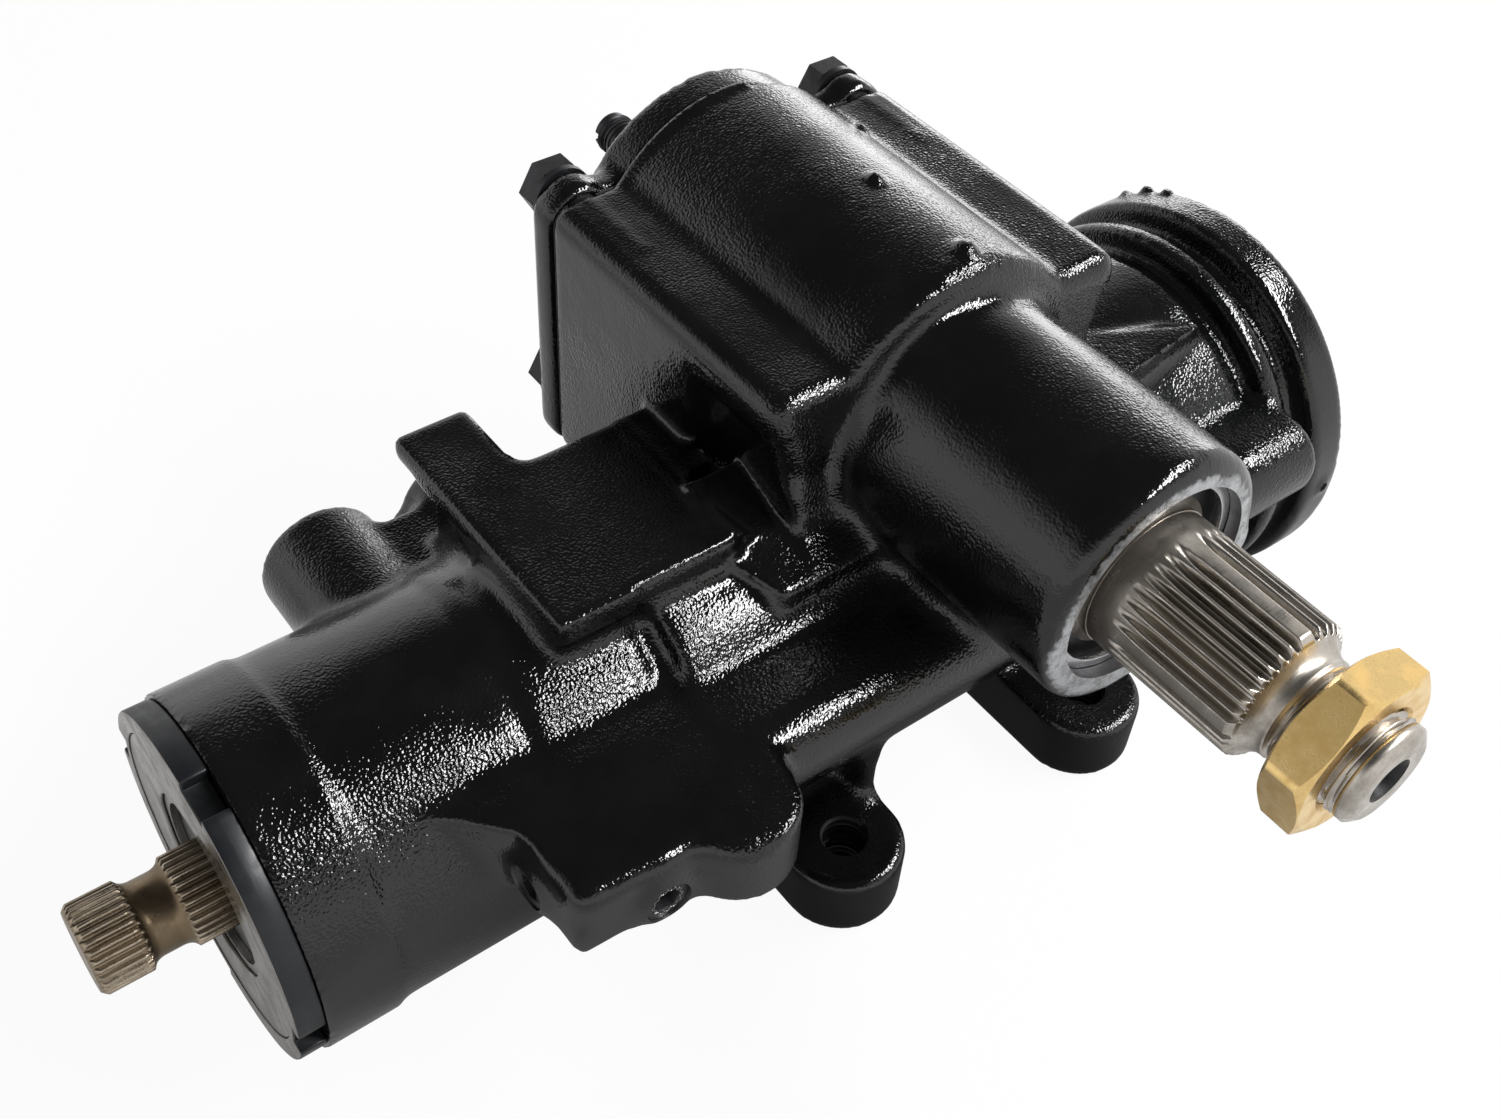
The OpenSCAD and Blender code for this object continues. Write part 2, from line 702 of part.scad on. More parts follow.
// Involute sector teeth about the axis, the middle tooth pointing down
function involute(a) = tan(a) * 180 / PI - a;
function tooth_half_angle(r) = 90 / sector_turn_teeth - tooth_backlash / sector_pitch_r * 180 / PI
    + involute(pressure_angle) - involute(acos(min(1, sector_pitch_r * cos(pressure_angle) / r)));
function sector_point(r, a) = [r * sin(a), -r * cos(a)];

module sector_outline() {
    root_r = sector_pitch_r - dedendum;
    base_r = max(root_r, sector_pitch_r * cos(pressure_angle));
    steps = 5;
    tooth_angle = 360 / sector_turn_teeth;
    polygon(concat(
        [[-hub_r * 0.8, hub_r * 0.6]],
        [for (tooth = [-1 : 1], side = [-1, 1], k = [-1 : steps])
            let (step = side < 0 ? k : steps - 1 - k,
                r = step < 0 ? root_r : base_r + (tip_r - base_r) * step / steps,
                a = tooth * tooth_angle + side * tooth_half_angle(max(r, base_r)))
            sector_point(r, a)],
        [[hub_r * 0.8, hub_r * 0.6]]));
    circle(hub_r);
}

module sector_shaft() {
    thread_y = spline_y0 - thread_neck_l;
    chamfer = 1.5;
    runout = 1;
    land = 0.15;
    color([0.6, 0.58, 0.55]) difference() {
        union() {
            pin(journal_r, journal_y, shaft_in_y);
            pin(output_spline_r + land, spline_y0 + output_spline_l, journal_y + eps);
            translate([0, -sector_front + sector_width, sector_z]) rotate([90, 0, 0])
                linear_extrude(sector_width) sector_outline();
            translate([0, spline_y0, sector_z]) rotate([-90, 0, 0]) linear_extrude(output_spline_l + runout)
                output_spline_outline();
            pin(output_thread_r - 1.2, thread_y, spline_y0 + 1);
            translate([0, -shaft_reach, sector_z]) rotate([-90, 0, 0])
                cylinder(r1 = output_thread_r - chamfer, r2 = output_thread_r, h = chamfer);
            pin(output_thread_r, -shaft_reach + chamfer - eps, thread_y);
        }
        pin(lash_head_r + 0.4, lash_head_y - 0.4, shaft_in_y + eps);
        pin(4, -shaft_reach - eps, -shaft_reach + 7);
    }
}

// Output spline with four wide master teeth that set the arm's position
module output_spline_outline() {
    teeth = 36;
    root_r = output_spline_r - 1.5;
    polygon(spline_points(root_r, output_spline_r, teeth));
    for (a = [0 : 90 : 270]) rotate(a) intersection() {
        circle(output_spline_r);
        translate([root_r - 2, -2.2]) square([5, 4.4]);
    }
}

module pitman_nut() {
    color([0.78, 0.62, 0.3]) difference() {
        rotate_nut() hex_along_y(nut_across_flats, nut_y, nut_y + nut_t);
        pin(output_thread_r + seat_clearance, nut_y - eps, nut_y + nut_t + eps);
    }
}

// Turns the nut on the sector axis to where it was tightened
module rotate_nut() {
    nut_turn = 11;
    translate([0, 0, sector_z]) rotate([0, nut_turn, 0]) translate([0, 0, -sector_z]) children();
}

module rack_piston() {
    color([0.5, 0.5, 0.51]) difference() {
        rod(rack_r, rack_x0, rack_x1);
        rod(nut_bore_r, rack_x0 - eps, rack_bore_end);
        rod(nut_bore_r + 2, rack_bore_end - eps, rack_x1 + eps);
        translate([-rack_flat, -rack_r, worm_height + rack_line + addendum]) cube([2 * rack_flat, 2 * rack_r, rack_r]);
        upright(-rack_r, rack_r) for (i = [-1 : 1]) translate([i * tooth_pitch, rack_line])
            polygon([for (corner = [[-1, -dedendum], [1, -dedendum], [1, addendum + 1], [-1, addendum + 1]])
                [corner[0] * (tooth_pitch / 4 + corner[1] * tan(pressure_angle)), corner[1]]]);
        collar(rack_r + 1, rack_r - 3, piston_groove[0], piston_groove[1]);
        guide_pocket();
    }
}

// Pocket in the rack's underside for the ball guide, its clamp and screws
module guide_pocket() {
    room = 0.3;
    half_w = guide_tube_r + room;
    slab(-rack_r - 1, -guide_leg + 1) translate([ball_x0 - half_w, -half_w])
        square([guide_end_x - ball_x0 + 2 * half_w, 2 * half_w]);
    slab(-rack_r - 1, -clamp_top) translate([guide_mid_x - clamp_half_x - room, -clamp_half_y - room])
        square([2 * (clamp_half_x + room), 2 * (clamp_half_y + room)]);
    for (side = [-1, 1]) translate([guide_mid_x, side * clamp_screw_y, worm_height - clamp_top - eps])
        mirror([0, 0, 1]) translate([0, 0, -8]) cylinder(r = 2.05, h = 8.1);
}

module piston_ring() {
    color([0.12, 0.1, 0.09])
        collar(rack_r, rack_r - 2.9, piston_groove[0] + seat_clearance, piston_groove[1] - seat_clearance);
}

module rack_end_plug() {
    drive = 12.7;
    color([0.45, 0.45, 0.46]) difference() {
        rod(nut_bore_r + 2 - seat_clearance, rack_bore_end + seat_clearance, rack_x1 - 1);
        translate([rack_x1 - 7, -drive / 2, worm_height - drive / 2]) cube([7, drive, drive]);
    }
}

module ball_guide() {
    color([0.62, 0.62, 0.64]) difference() {
        guide_run(guide_tube_r);
        guide_run(ball_r + 0.3);
        slab(-guide_leg, 0) translate([ball_x0 - 10, -10]) square([guide_end_x - ball_x0 + 20, 20]);
    }
}

// Tube that leaves the ball circuit, runs along the rack and turns back in
module guide_run(r) {
    for (x = [ball_x0, guide_end_x]) {
        translate([x, 0, worm_height - guide_drop]) cylinder(r = r, h = guide_drop - guide_leg + 1);
        translate([x, 0, worm_height - guide_drop]) sphere(r);
    }
    translate([ball_x0, 0, worm_height - guide_drop]) rotate([0, 90, 0])
        cylinder(r = r, h = guide_end_x - ball_x0);
}

module guide_clamp() {
    color([0.55, 0.55, 0.57]) difference() {
        slab(-clamp_top - clamp_t, -clamp_top) translate([guide_mid_x - clamp_half_x, -clamp_half_y])
            square([2 * clamp_half_x, 2 * clamp_half_y]);
        for (side = [-1, 1]) translate([guide_mid_x, side * clamp_screw_y, 0]) cylinder(r = 2.3, h = worm_height);
    }
}

module guide_screws() {
    color([0.4, 0.4, 0.42]) for (side = [-1, 1])
        translate([guide_mid_x, side * clamp_screw_y, worm_height - clamp_top - clamp_t]) {
            cylinder(r = 2, h = clamp_t + 7);
            mirror([0, 0, 1]) cylinder(r = 3.4, h = 1.8, $fn = 6);
        }
}

module recirculating_balls() {
    color([0.75, 0.75, 0.78]) for (i = [0 : ball_count - 1]) {
        a = i * ball_step;
        x = ball_x0 + worm_lead * a / 360;
        translate([x, 0, worm_height]) rotate([worm_phase(x), 0, 0]) translate([0, ball_circle_r, 0]) sphere(ball_r, $fn = 32);
    }
}

// Angle of the worm groove's middle at station x
function worm_phase(x) = 360 * x / worm_lead;

// Radius of the worm's cross-section at an angle from its groove
function worm_radius(a) = let (off = worm_lead * a / 360)
    abs(off) >= groove_r ? worm_r : min(worm_r, ball_circle_r - sqrt(groove_r * groove_r - off * off));

module worm_shaft() {
    points = 28;
    slices_per_turn = 22;
    neck = worm_r - 0.4;
    turns = (worm_x1 - worm_x0) / worm_lead;
    color([0.55, 0.55, 0.56]) difference() {
        union() {
            translate([worm_x0, 0, worm_height]) rotate([worm_phase(worm_x0), 0, 0]) rotate([90, 0, 90])
                linear_extrude(worm_x1 - worm_x0, twist = -360 * turns, slices = round(turns * slices_per_turn), $fn = points)
                    polygon([for (k = [0 : points - 1]) let (a = 360 * k / points - 180)
                        worm_radius(a) * [cos(a), sin(a)]]);
            rod(neck, worm_flange_x, worm_x0 + eps);
            rod(thrust_r - 3, worm_flange_x, worm_flange_x + worm_flange_t);
        }
        rod(torsion_bar_r + 0.4, worm_flange_x - eps, worm_x0 - 8);
    }
}

module valve_body() {
    color([0.5, 0.5, 0.52]) difference() {
        rod(valve_bore_r - running_clearance, valve_body_x, worm_flange_x);
        rod(spool_r + running_clearance, valve_body_x - eps, worm_flange_x + eps);
        for (i = [0 : 2]) collar(valve_bore_r, valve_bore_r - 2.5, valve_ring_x(i), valve_ring_x(i) + 3);
    }
}

// Station of each sealing ring on the valve body
function valve_ring_x(i) = valve_body_x + 6 + i * (valve_body_l - 15) / 2;

module valve_rings() {
    color([0.15, 0.3, 0.2]) for (i = [0 : 2])
        collar(valve_bore_r - running_clearance, valve_bore_r - 2.45, valve_ring_x(i) + 0.05, valve_ring_x(i) + 2.95);
}

module torsion_bar() {
    color([0.6, 0.6, 0.63]) rod(torsion_bar_r, stub_x + 9, worm_x0 - 8);
}

module spool_valve() {
    slots = 8;
    color([0.58, 0.58, 0.6]) difference() {
        rod(spool_r, valve_body_x + 3, worm_flange_x - 3);
        rod(stub_journal_r + seat_clearance, valve_body_x, worm_flange_x);
        for (i = [0 : slots - 1]) translate([valve_body_x + 10, 0, worm_height]) rotate([360 / slots * i, 0, 0])
            translate([0, -2, spool_r - 1.5]) cube([valve_body_l - 20, 4, 3]);
    }
}

module stub_shaft() {
    spline_l = 11;
    waist_l = 8;
    waist_r = input_spline_r - 1.6;
    inner_spline_l = 9;
    teeth = 30;
    color([0.42, 0.36, 0.28]) difference() {
        union() {
            for (x = [stub_x, stub_x + spline_l + waist_l])
                translate([x, 0, worm_height]) rotate([90, 0, 90])
                    linear_extrude(x == stub_x ? spline_l : inner_spline_l)
                        polygon(spline_points(input_spline_r - 1, input_spline_r, teeth));
            rod(waist_r, stub_x, stub_x + spline_l + waist_l + inner_spline_l);
            rod(stub_journal_r, stub_x + spline_l + waist_l + inner_spline_l - eps, worm_flange_x - 6);
        }
        rod(torsion_bar_r + 0.4, stub_x + 8, worm_flange_x);
    }
}

housing();
side_cover();
cover_gasket();
cover_bolts();
cover_bushing();
lash_adjuster_screw();
lash_lock_nut();
lash_screw_retainer();
sector_needle_bearing();
sector_oil_seal();
seal_backup_washer();
sector_dust_seal();
seal_retaining_ring();
end_plug();
end_plug_o_ring();
end_retaining_ring();
adjuster_plug();
adjuster_o_ring();
plug_lock_nut();
stub_needle_bearing();
stub_oil_seal();
stub_dust_seal();
stub_retaining_ring();
upper_thrust_bearing();
lower_thrust_bearing();
pressure_port_seat();
return_port_seat();
gallery_plugs();
sector_shaft();
pitman_nut();
rack_piston();
piston_ring();
rack_end_plug();
ball_guide();
guide_clamp();
guide_screws();
recirculating_balls();
worm_shaft();
valve_body();
valve_rings();
torsion_bar();
spool_valve();
stub_shaft();
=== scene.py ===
# Studio scene of a power steering gear: a black casting, steel shafts and a plated nut
import math

import bmesh
import bpy
import numpy as np
import openvdb
from mathutils import Matrix, Vector


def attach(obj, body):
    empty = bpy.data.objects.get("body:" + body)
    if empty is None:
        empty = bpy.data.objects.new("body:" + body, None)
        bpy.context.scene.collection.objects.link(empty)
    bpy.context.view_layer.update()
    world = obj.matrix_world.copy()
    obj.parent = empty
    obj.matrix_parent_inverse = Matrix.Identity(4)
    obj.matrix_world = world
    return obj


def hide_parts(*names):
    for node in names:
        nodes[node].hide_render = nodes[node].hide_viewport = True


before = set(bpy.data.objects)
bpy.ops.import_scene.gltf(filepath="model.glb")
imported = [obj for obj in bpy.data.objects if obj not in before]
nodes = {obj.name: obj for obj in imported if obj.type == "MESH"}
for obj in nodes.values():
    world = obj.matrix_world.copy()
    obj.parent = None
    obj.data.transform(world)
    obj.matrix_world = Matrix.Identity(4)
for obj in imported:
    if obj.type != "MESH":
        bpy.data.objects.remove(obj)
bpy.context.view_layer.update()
scene = bpy.context.scene
wormZ = 0.0565  # height of the worm axis above the mounting face, metres
sectorZ = 0.1095  # height of the sector axis
print("frame loaded:", len(nodes), "nodes")

# camera at the photograph's place
shot = {
    "place": (-0.20707, -0.20177, 0.34674),
    "right": (0.79729, -0.60129, 0.05273),
    "up": (0.40619, 0.59911, 0.68999),
    "back": (-0.44648, -0.52870, 0.72190),
    "lens": 41.30,
}
cameraData = bpy.data.cameras.new("photoCamera")
cameraData.sensor_fit = "HORIZONTAL"
cameraData.sensor_width = 36
cameraData.lens = shot["lens"]
cameraData.clip_start = 0.01
photoCamera = bpy.data.objects.new("photoCamera", cameraData)
turn = Matrix((shot["right"], shot["up"], shot["back"])).transposed().to_4x4()
photoCamera.matrix_world = Matrix.Translation(shot["place"]) @ turn
scene.collection.objects.link(photoCamera)
scene.camera = photoCamera
print("camera set")


# shader helpers
def wire(tree, source, target):
    tree.links.new(source, target)


def addNode(tree, kind, **values):
    node = tree.nodes.new(kind)
    for key, value in values.items():
        setattr(node, key, value)
    return node


def mathNode(tree, operation, first, second=None, clamp=False):
    node = addNode(tree, "ShaderNodeMath", operation=operation, use_clamp=clamp)
    for socket, value in zip(node.inputs, (first, second)):
        if value is None:
            continue
        if isinstance(value, (int, float)):
            socket.default_value = value
        else:
            wire(tree, value, socket)
    return node.outputs[0]


def weighted(tree, first, firstShare, second, secondShare):
    return mathNode(tree, "ADD", mathNode(tree, "MULTIPLY", first, firstShare), mathNode(tree, "MULTIPLY", second, secondShare))


def distance(tree, first, second):
    return mathNode(tree, "SQRT", weighted(tree, first, first, second, second))


def rangeNode(tree, value, fromLow, fromHigh, toLow, toHigh, smooth=False):
    node = addNode(tree, "ShaderNodeMapRange", interpolation_type="SMOOTHSTEP" if smooth else "LINEAR")
    wire(tree, value, node.inputs["Value"])
    for name, number in (("From Min", fromLow), ("From Max", fromHigh), ("To Min", toLow), ("To Max", toHigh)):
        node.inputs[name].default_value = number
    return node.outputs["Result"]


def mixColour(tree, factor, first, second):
    node = addNode(tree, "ShaderNodeMix", data_type="RGBA")
    wire(tree, factor, node.inputs["Factor"])
    for socket, value in ((node.inputs[6], first), (node.inputs[7], second)):
        if isinstance(value, tuple):
            socket.default_value = (*value, 1)
        else:
            wire(tree, value, socket)
    return node.outputs[2]


def noise(tree, vector, scale, detail=2.0, roughness=0.5):
    node = addNode(tree, "ShaderNodeTexNoise")
    wire(tree, vector, node.inputs["Vector"])
    if isinstance(scale, (int, float)):
        node.inputs["Scale"].default_value = scale
    else:
        wire(tree, scale, node.inputs["Scale"])
    node.inputs["Detail"].default_value = detail
    node.inputs["Roughness"].default_value = roughness
    return node.outputs["Fac"]


def newGroup(name, inputs, outputs):
    group = bpy.data.node_groups.new(name, "ShaderNodeTree")
    for label, kind, value in inputs:
        socket = group.interface.new_socket(label, in_out="INPUT", socket_type=kind)
        if value is not None:
            socket.default_value = value
    for label, kind in outputs:
        group.interface.new_socket(label, in_out="OUTPUT", socket_type=kind)
    return group, group.nodes.new("NodeGroupInput"), group.nodes.new("NodeGroupOutput")


def useGroup(tree, group, vector, **values):
    node = addNode(tree, "ShaderNodeGroup")
    node.node_tree = group
    wire(tree, vector, node.inputs["Vector"])
    for name, value in values.items():
        node.inputs[name].default_value = value
    return node


# sand-cast skin under thick paint: pebbles that come and go in patches, and broad waves
grain = {"pebble": 1650.0, "pebbleDetail": 0.6, "wave": 130.0, "waveShare": 0.7, "patch": 22.0,
         "patchNoise": (0.4, 0.6), "patchShare": (0.3, 1.0)}
castPeel, groupIn, groupOut = newGroup(
    "castPeel",
    [("Vector", "NodeSocketVector", None), ("Pebble", "NodeSocketFloat", grain["pebble"]), ("Wave", "NodeSocketFloat", grain["wave"]),
     ("Patch", "NodeSocketFloat", grain["patch"])],
    [("Height", "NodeSocketFloat")])
spot = groupIn.outputs["Vector"]
patches = rangeNode(castPeel, noise(castPeel, spot, groupIn.outputs["Patch"]), *grain["patchNoise"], *grain["patchShare"], True)
pebbles = noise(castPeel, spot, groupIn.outputs["Pebble"], grain["pebbleDetail"])
waves = noise(castPeel, spot, groupIn.outputs["Wave"])
wire(castPeel, weighted(castPeel, pebbles, patches, waves, grain["waveShare"]), groupOut.inputs["Height"])

# rings left by a lathe tool round the vector's Z axis
latheRings, groupIn, groupOut = newGroup(
    "latheRings",
    [("Vector", "NodeSocketVector", None), ("Fineness", "NodeSocketFloat", 2500.0)],
    [("Rings", "NodeSocketFloat"), ("Radius", "NodeSocketFloat"), ("Along", "NodeSocketFloat")])
split = addNode(latheRings, "ShaderNodeSeparateXYZ")
wire(latheRings, groupIn.outputs["Vector"], split.inputs[0])
radius = distance(latheRings, split.outputs[0], split.outputs[1])
flat = addNode(latheRings, "ShaderNodeCombineXYZ")
wire(latheRings, radius, flat.inputs[0])
wire(latheRings, split.outputs[2], flat.inputs[1])
wire(latheRings, noise(latheRings, flat.outputs[0], groupIn.outputs["Fineness"], 2, 0.6), groupOut.inputs["Rings"])
wire(latheRings, radius, groupOut.inputs["Radius"])
wire(latheRings, split.outputs[2], groupOut.inputs["Along"])

# blotches of oil film, stain and handling
staining = {"size": 180.0, "blotch": (0.35, 0.68), "fleck": (0.5, 0.72), "fleckTimes": 9.0}
stain, groupIn, groupOut = newGroup(
    "stain",
    [("Vector", "NodeSocketVector", None), ("Size", "NodeSocketFloat", staining["size"])],
    [("Blotch", "NodeSocketFloat"), ("Fleck", "NodeSocketFloat")])
blotches = noise(stain, groupIn.outputs["Vector"], groupIn.outputs["Size"], 4, 0.6)
fleckScale = mathNode(stain, "MULTIPLY", groupIn.outputs["Size"], staining["fleckTimes"])
flecks = noise(stain, groupIn.outputs["Vector"], fleckScale, 2, 0.7)
wire(stain, rangeNode(stain, blotches, *staining["blotch"], 0, 1, True), groupOut.inputs["Blotch"])
wire(stain, rangeNode(stain, flecks, *staining["fleck"], 0, 1), groupOut.inputs["Fleck"])


def newMaterial(name):
    material = bpy.data.materials.new(name)
    material.use_nodes = True
    tree = material.node_tree
    return material, tree, tree.nodes["Principled BSDF"], addNode(tree, "ShaderNodeTexCoord").outputs["Object"]


def axisVector(tree, place, axis):
    node = addNode(tree, "ShaderNodeMapping")
    wire(tree, place, node.inputs["Vector"])
    if axis == "worm":
        node.inputs["Location"].default_value = (wormZ, 0, 0)
        node.inputs["Rotation"].default_value = (0, -math.pi / 2, 0)
    else:
        node.inputs["Location"].default_value = (0, sectorZ, 0)
        node.inputs["Rotation"].default_value = (math.pi / 2, 0, 0)
    return node.outputs[0]


def bumpInto(tree, shader, height, strength, distance):
    node = addNode(tree, "ShaderNodeBump")
    node.inputs["Strength"].default_value = strength
    node.inputs["Distance"].default_value = distance
    wire(tree, height, node.inputs["Height"])
    wire(tree, node.outputs[0], shader.inputs["Normal"])


paint = {"black": (0.0026, 0.0026, 0.0029), "dust": (0.008, 0.008, 0.0086), "dustShare": 0.4, "stainSize": 60.0, "depth": 0.0002,
         "gloss": (0.07, 0.11), "mirror": 0.6}
bareEnd = {"iron": (0.42, 0.43, 0.44), "worn": (0.2, 0.2, 0.21), "rim": (-0.0768, -0.0772), "raggedSize": 420, "ragged": 0.0012,
           "rougher": 0.22, "metal": 0.75}


def paintMaterial(name, bareTube=False, peel=1.0):
    material, tree, shader, place = newMaterial(name)
    skin = useGroup(tree, castPeel, place)
    marks = useGroup(tree, stain, place, Size=paint["stainSize"])
    colour = mixColour(tree, mathNode(tree, "MULTIPLY", marks.outputs["Blotch"], paint["dustShare"]), paint["black"], paint["dust"])
    rough = rangeNode(tree, marks.outputs["Blotch"], 0, 1, *paint["gloss"])
    if bareTube:  # the output tube's end face is bare iron with ragged paint at its rim
        split = addNode(tree, "ShaderNodeSeparateXYZ")
        wire(tree, place, split.inputs[0])
        unevenness = mathNode(tree, "SUBTRACT", noise(tree, place, bareEnd["raggedSize"], 3), 0.5)
        ragged = mathNode(tree, "ADD", split.outputs[1], mathNode(tree, "MULTIPLY", unevenness, bareEnd["ragged"]))
        bare = rangeNode(tree, ragged, *bareEnd["rim"], 0, 1)
        colour = mixColour(tree, bare, colour, mixColour(tree, marks.outputs["Fleck"], bareEnd["iron"], bareEnd["worn"]))
        rough = mathNode(tree, "ADD", rough, mathNode(tree, "MULTIPLY", bare, bareEnd["rougher"]))
        wire(tree, mathNode(tree, "MULTIPLY", bare, bareEnd["metal"]), shader.inputs["Metallic"])
    wire(tree, colour, shader.inputs["Base Color"])
    wire(tree, rough, shader.inputs["Roughness"])
    shader.inputs["Specular IOR Level"].default_value = paint["mirror"]
    bumpInto(tree, shader, skin.outputs["Height"], peel, paint["depth"])
    return material


# the two fade lengths ease the painted shade in the grooves in and out along the axis
wear = {"blotch": 0.65, "fleck": 0.3, "marks": 0.75, "rings": 0.25, "ringRough": 0.2, "depth": 0.0002, "shadeFadeIn": 0.0015, "shadeFadeOut": 0.001}


def metalMaterial(name, light, dark, roughLow, roughHigh, axis=None, rings=0.12, metallic=1.0, size=180.0, grooveShade=None):
    material, tree, shader, place = newMaterial(name)
    marks = useGroup(tree, stain, place, Size=size)
    shade = weighted(tree, marks.outputs["Blotch"], wear["blotch"], marks.outputs["Fleck"], wear["fleck"])
    rough = rangeNode(tree, marks.outputs["Blotch"], 0, 1, roughLow, roughHigh)
    relief = marks.outputs["Fleck"]
    if axis:
        lathe = useGroup(tree, latheRings, axisVector(tree, place, axis))
        relief, along = lathe.outputs["Rings"], lathe.outputs["Along"]
        shade = weighted(tree, shade, wear["marks"], relief, wear["rings"])
        rough = mathNode(tree, "ADD", rough, mathNode(tree, "MULTIPLY", mathNode(tree, "SUBTRACT", relief, 0.5), wear["ringRough"]))
        if grooveShade:  # painted shade in the grooves: darker from the tip radius down to the root, over a stretch of the axis
            rootShade = rangeNode(tree, lathe.outputs["Radius"], grooveShade["root"], grooveShade["tip"], 1, 0)
            inside = mathNode(tree, "MULTIPLY", rangeNode(tree, along, grooveShade["from"], grooveShade["from"] + wear["shadeFadeIn"], 0, 1),
                              rangeNode(tree, along, grooveShade["to"] - wear["shadeFadeOut"], grooveShade["to"], 1, 0))
            shade = mathNode(tree, "MAXIMUM", shade, mathNode(tree, "MULTIPLY", rootShade, inside), clamp=True)
    bumpInto(tree, shader, relief, rings, wear["depth"])
    wire(tree, mixColour(tree, shade, light, dark), shader.inputs["Base Color"])
    wire(tree, rough, shader.inputs["Roughness"])
    shader.inputs["Metallic"].default_value = metallic
    return material


def rubberMaterial(name, tone, axis):
    material, tree, shader, place = newMaterial(name)
    lathe = useGroup(tree, latheRings, axisVector(tree, place, axis), Fineness=1400.0)
    wire(tree, mixColour(tree, lathe.outputs["Rings"], tone, tuple(2.5 * t for t in tone)), shader.inputs["Base Color"])
    wire(tree, rangeNode(tree, lathe.outputs["Rings"], 0.3, 0.7, 0.3, 0.5), shader.inputs["Roughness"])
    bumpInto(tree, shader, lathe.outputs["Rings"], 0.2, wear["depth"])
    return material


blackPaint = paintMaterial("blackPaint", bareTube=True)
coverPaint = paintMaterial("coverPaint", peel=0.8)
boltBlack = metalMaterial("boltBlack", (0.03, 0.031, 0.034), (0.012, 0.012, 0.013), 0.3, 0.45, metallic=0.5)
# the groove entries paint shade into the lock nut's notches and the spline grooves of both shafts, darker toward the
# root
lockNutBlack = metalMaterial("lockNutBlack", (0.012, 0.013, 0.016), (0.005, 0.006, 0.007), 0.34, 0.48, axis="worm", rings=0.06, metallic=0.1,
                             grooveShade={"root": 0.0350, "tip": 0.0366, "from": -0.172, "to": -0.160})
shaftSteel = metalMaterial("shaftSteel", (0.60, 0.56, 0.51), (0.27, 0.24, 0.20), 0.27, 0.44, axis="sector",
                           grooveShade={"root": 0.0140, "tip": 0.0155, "from": -0.1095, "to": -0.0815})
platedBrass = metalMaterial("yellowZinc", (0.88, 0.63, 0.27), (0.70, 0.46, 0.16), 0.24, 0.4, size=260.0, rings=0.05)
stubSteel = metalMaterial("stubSteel", (0.54, 0.46, 0.36), (0.22, 0.165, 0.105), 0.28, 0.46, axis="worm", size=300.0,
                          grooveShade={"root": 0.0085, "tip": 0.0094, "from": -0.194, "to": -0.160})
plugSteel = metalMaterial("plugSteel", (0.36, 0.345, 0.33), (0.19, 0.175, 0.16), 0.24, 0.4, axis="worm", rings=0.25)
groundWorm = metalMaterial("groundWorm", (0.55, 0.55, 0.56), (0.38, 0.38, 0.39), 0.2, 0.32, axis="worm")
groundSector = metalMaterial("groundSector", (0.55, 0.55, 0.56), (0.36, 0.36, 0.37), 0.2, 0.34, axis="sector")
machinedIron = metalMaterial("machinedIron", (0.36, 0.36, 0.37), (0.22, 0.22, 0.23), 0.32, 0.46, axis="worm", rings=0.2)
bearingSteel = metalMaterial("bearingSteel", (0.66, 0.66, 0.68), (0.5, 0.5, 0.52), 0.12, 0.22)
bronze = metalMaterial("bronze", (0.7, 0.5, 0.24), (0.48, 0.32, 0.14), 0.28, 0.4)
wormRubber = rubberMaterial("wormRubber", (0.012, 0.012, 0.012), "worm")
sectorRubber = rubberMaterial("sectorRubber", (0.012, 0.012, 0.013), "sector")
sealPlastic = rubberMaterial("sealPlastic", (0.05, 0.045, 0.04), "worm")
oilyBore = metalMaterial("oilyBore", (0.012, 0.012, 0.013), (0.005, 0.005, 0.005), 0.35, 0.55, metallic=0.1)
gasketFibre = metalMaterial("gasketFibre", (0.05, 0.045, 0.04), (0.02, 0.018, 0.016), 0.7, 0.85, metallic=0.0, size=500.0)
print("materials made")

nodeFinish = {
    blackPaint: ["housing"],
    coverPaint: ["side_cover"],
    boltBlack: ["cover_bolts", "lash_adjuster_screw", "lash_lock_nut", "gallery_plugs"],
    lockNutBlack: ["plug_lock_nut"],
    shaftSteel: ["sector_shaft"],
    platedBrass: ["pitman_nut"],
    stubSteel: ["stub_shaft"],
    plugSteel: ["adjuster_plug", "stub_retaining_ring"],
    groundWorm: ["worm_shaft", "valve_body", "spool_valve", "torsion_bar", "end_retaining_ring", "guide_clamp", "guide_screws",
                 "ball_guide"],
    groundSector: ["seal_retaining_ring", "lash_screw_retainer", "seal_backup_washer"],
    machinedIron: ["rack_piston", "end_plug", "rack_end_plug"],
    bearingSteel: ["recirculating_balls", "sector_needle_bearing", "stub_needle_bearing", "upper_thrust_bearing", "lower_thrust_bearing"],
    bronze: ["cover_bushing", "pressure_port_seat", "return_port_seat"],
    wormRubber: ["end_plug_o_ring", "adjuster_o_ring", "stub_oil_seal", "stub_dust_seal"],
    sectorRubber: ["sector_oil_seal", "sector_dust_seal"],
    sealPlastic: ["piston_ring", "valve_rings"],
    gasketFibre: ["cover_gasket"],
}
for finish, names in nodeFinish.items():
    for name in names:
        for slot in nodes[name].material_slots:
            slot.material = finish


# mesh helpers
def softShade(mesh, degrees):
    mesh.shade_smooth()
    mesh.set_sharp_from_angle(angle=math.radians(degrees))


def newObject(name, mesh, material=None):
    obj = bpy.data.objects.new(name, mesh)
    scene.collection.objects.link(obj)
    if material and not mesh.materials:
        mesh.materials.append(material)
    return obj


def bake(obj):
    graph = bpy.context.evaluated_depsgraph_get()
    mesh = bpy.data.meshes.new_from_object(obj.evaluated_get(graph), depsgraph=graph)
    obj.modifiers.clear()
    old = obj.data
    obj.data = mesh
    bpy.data.meshes.remove(old)


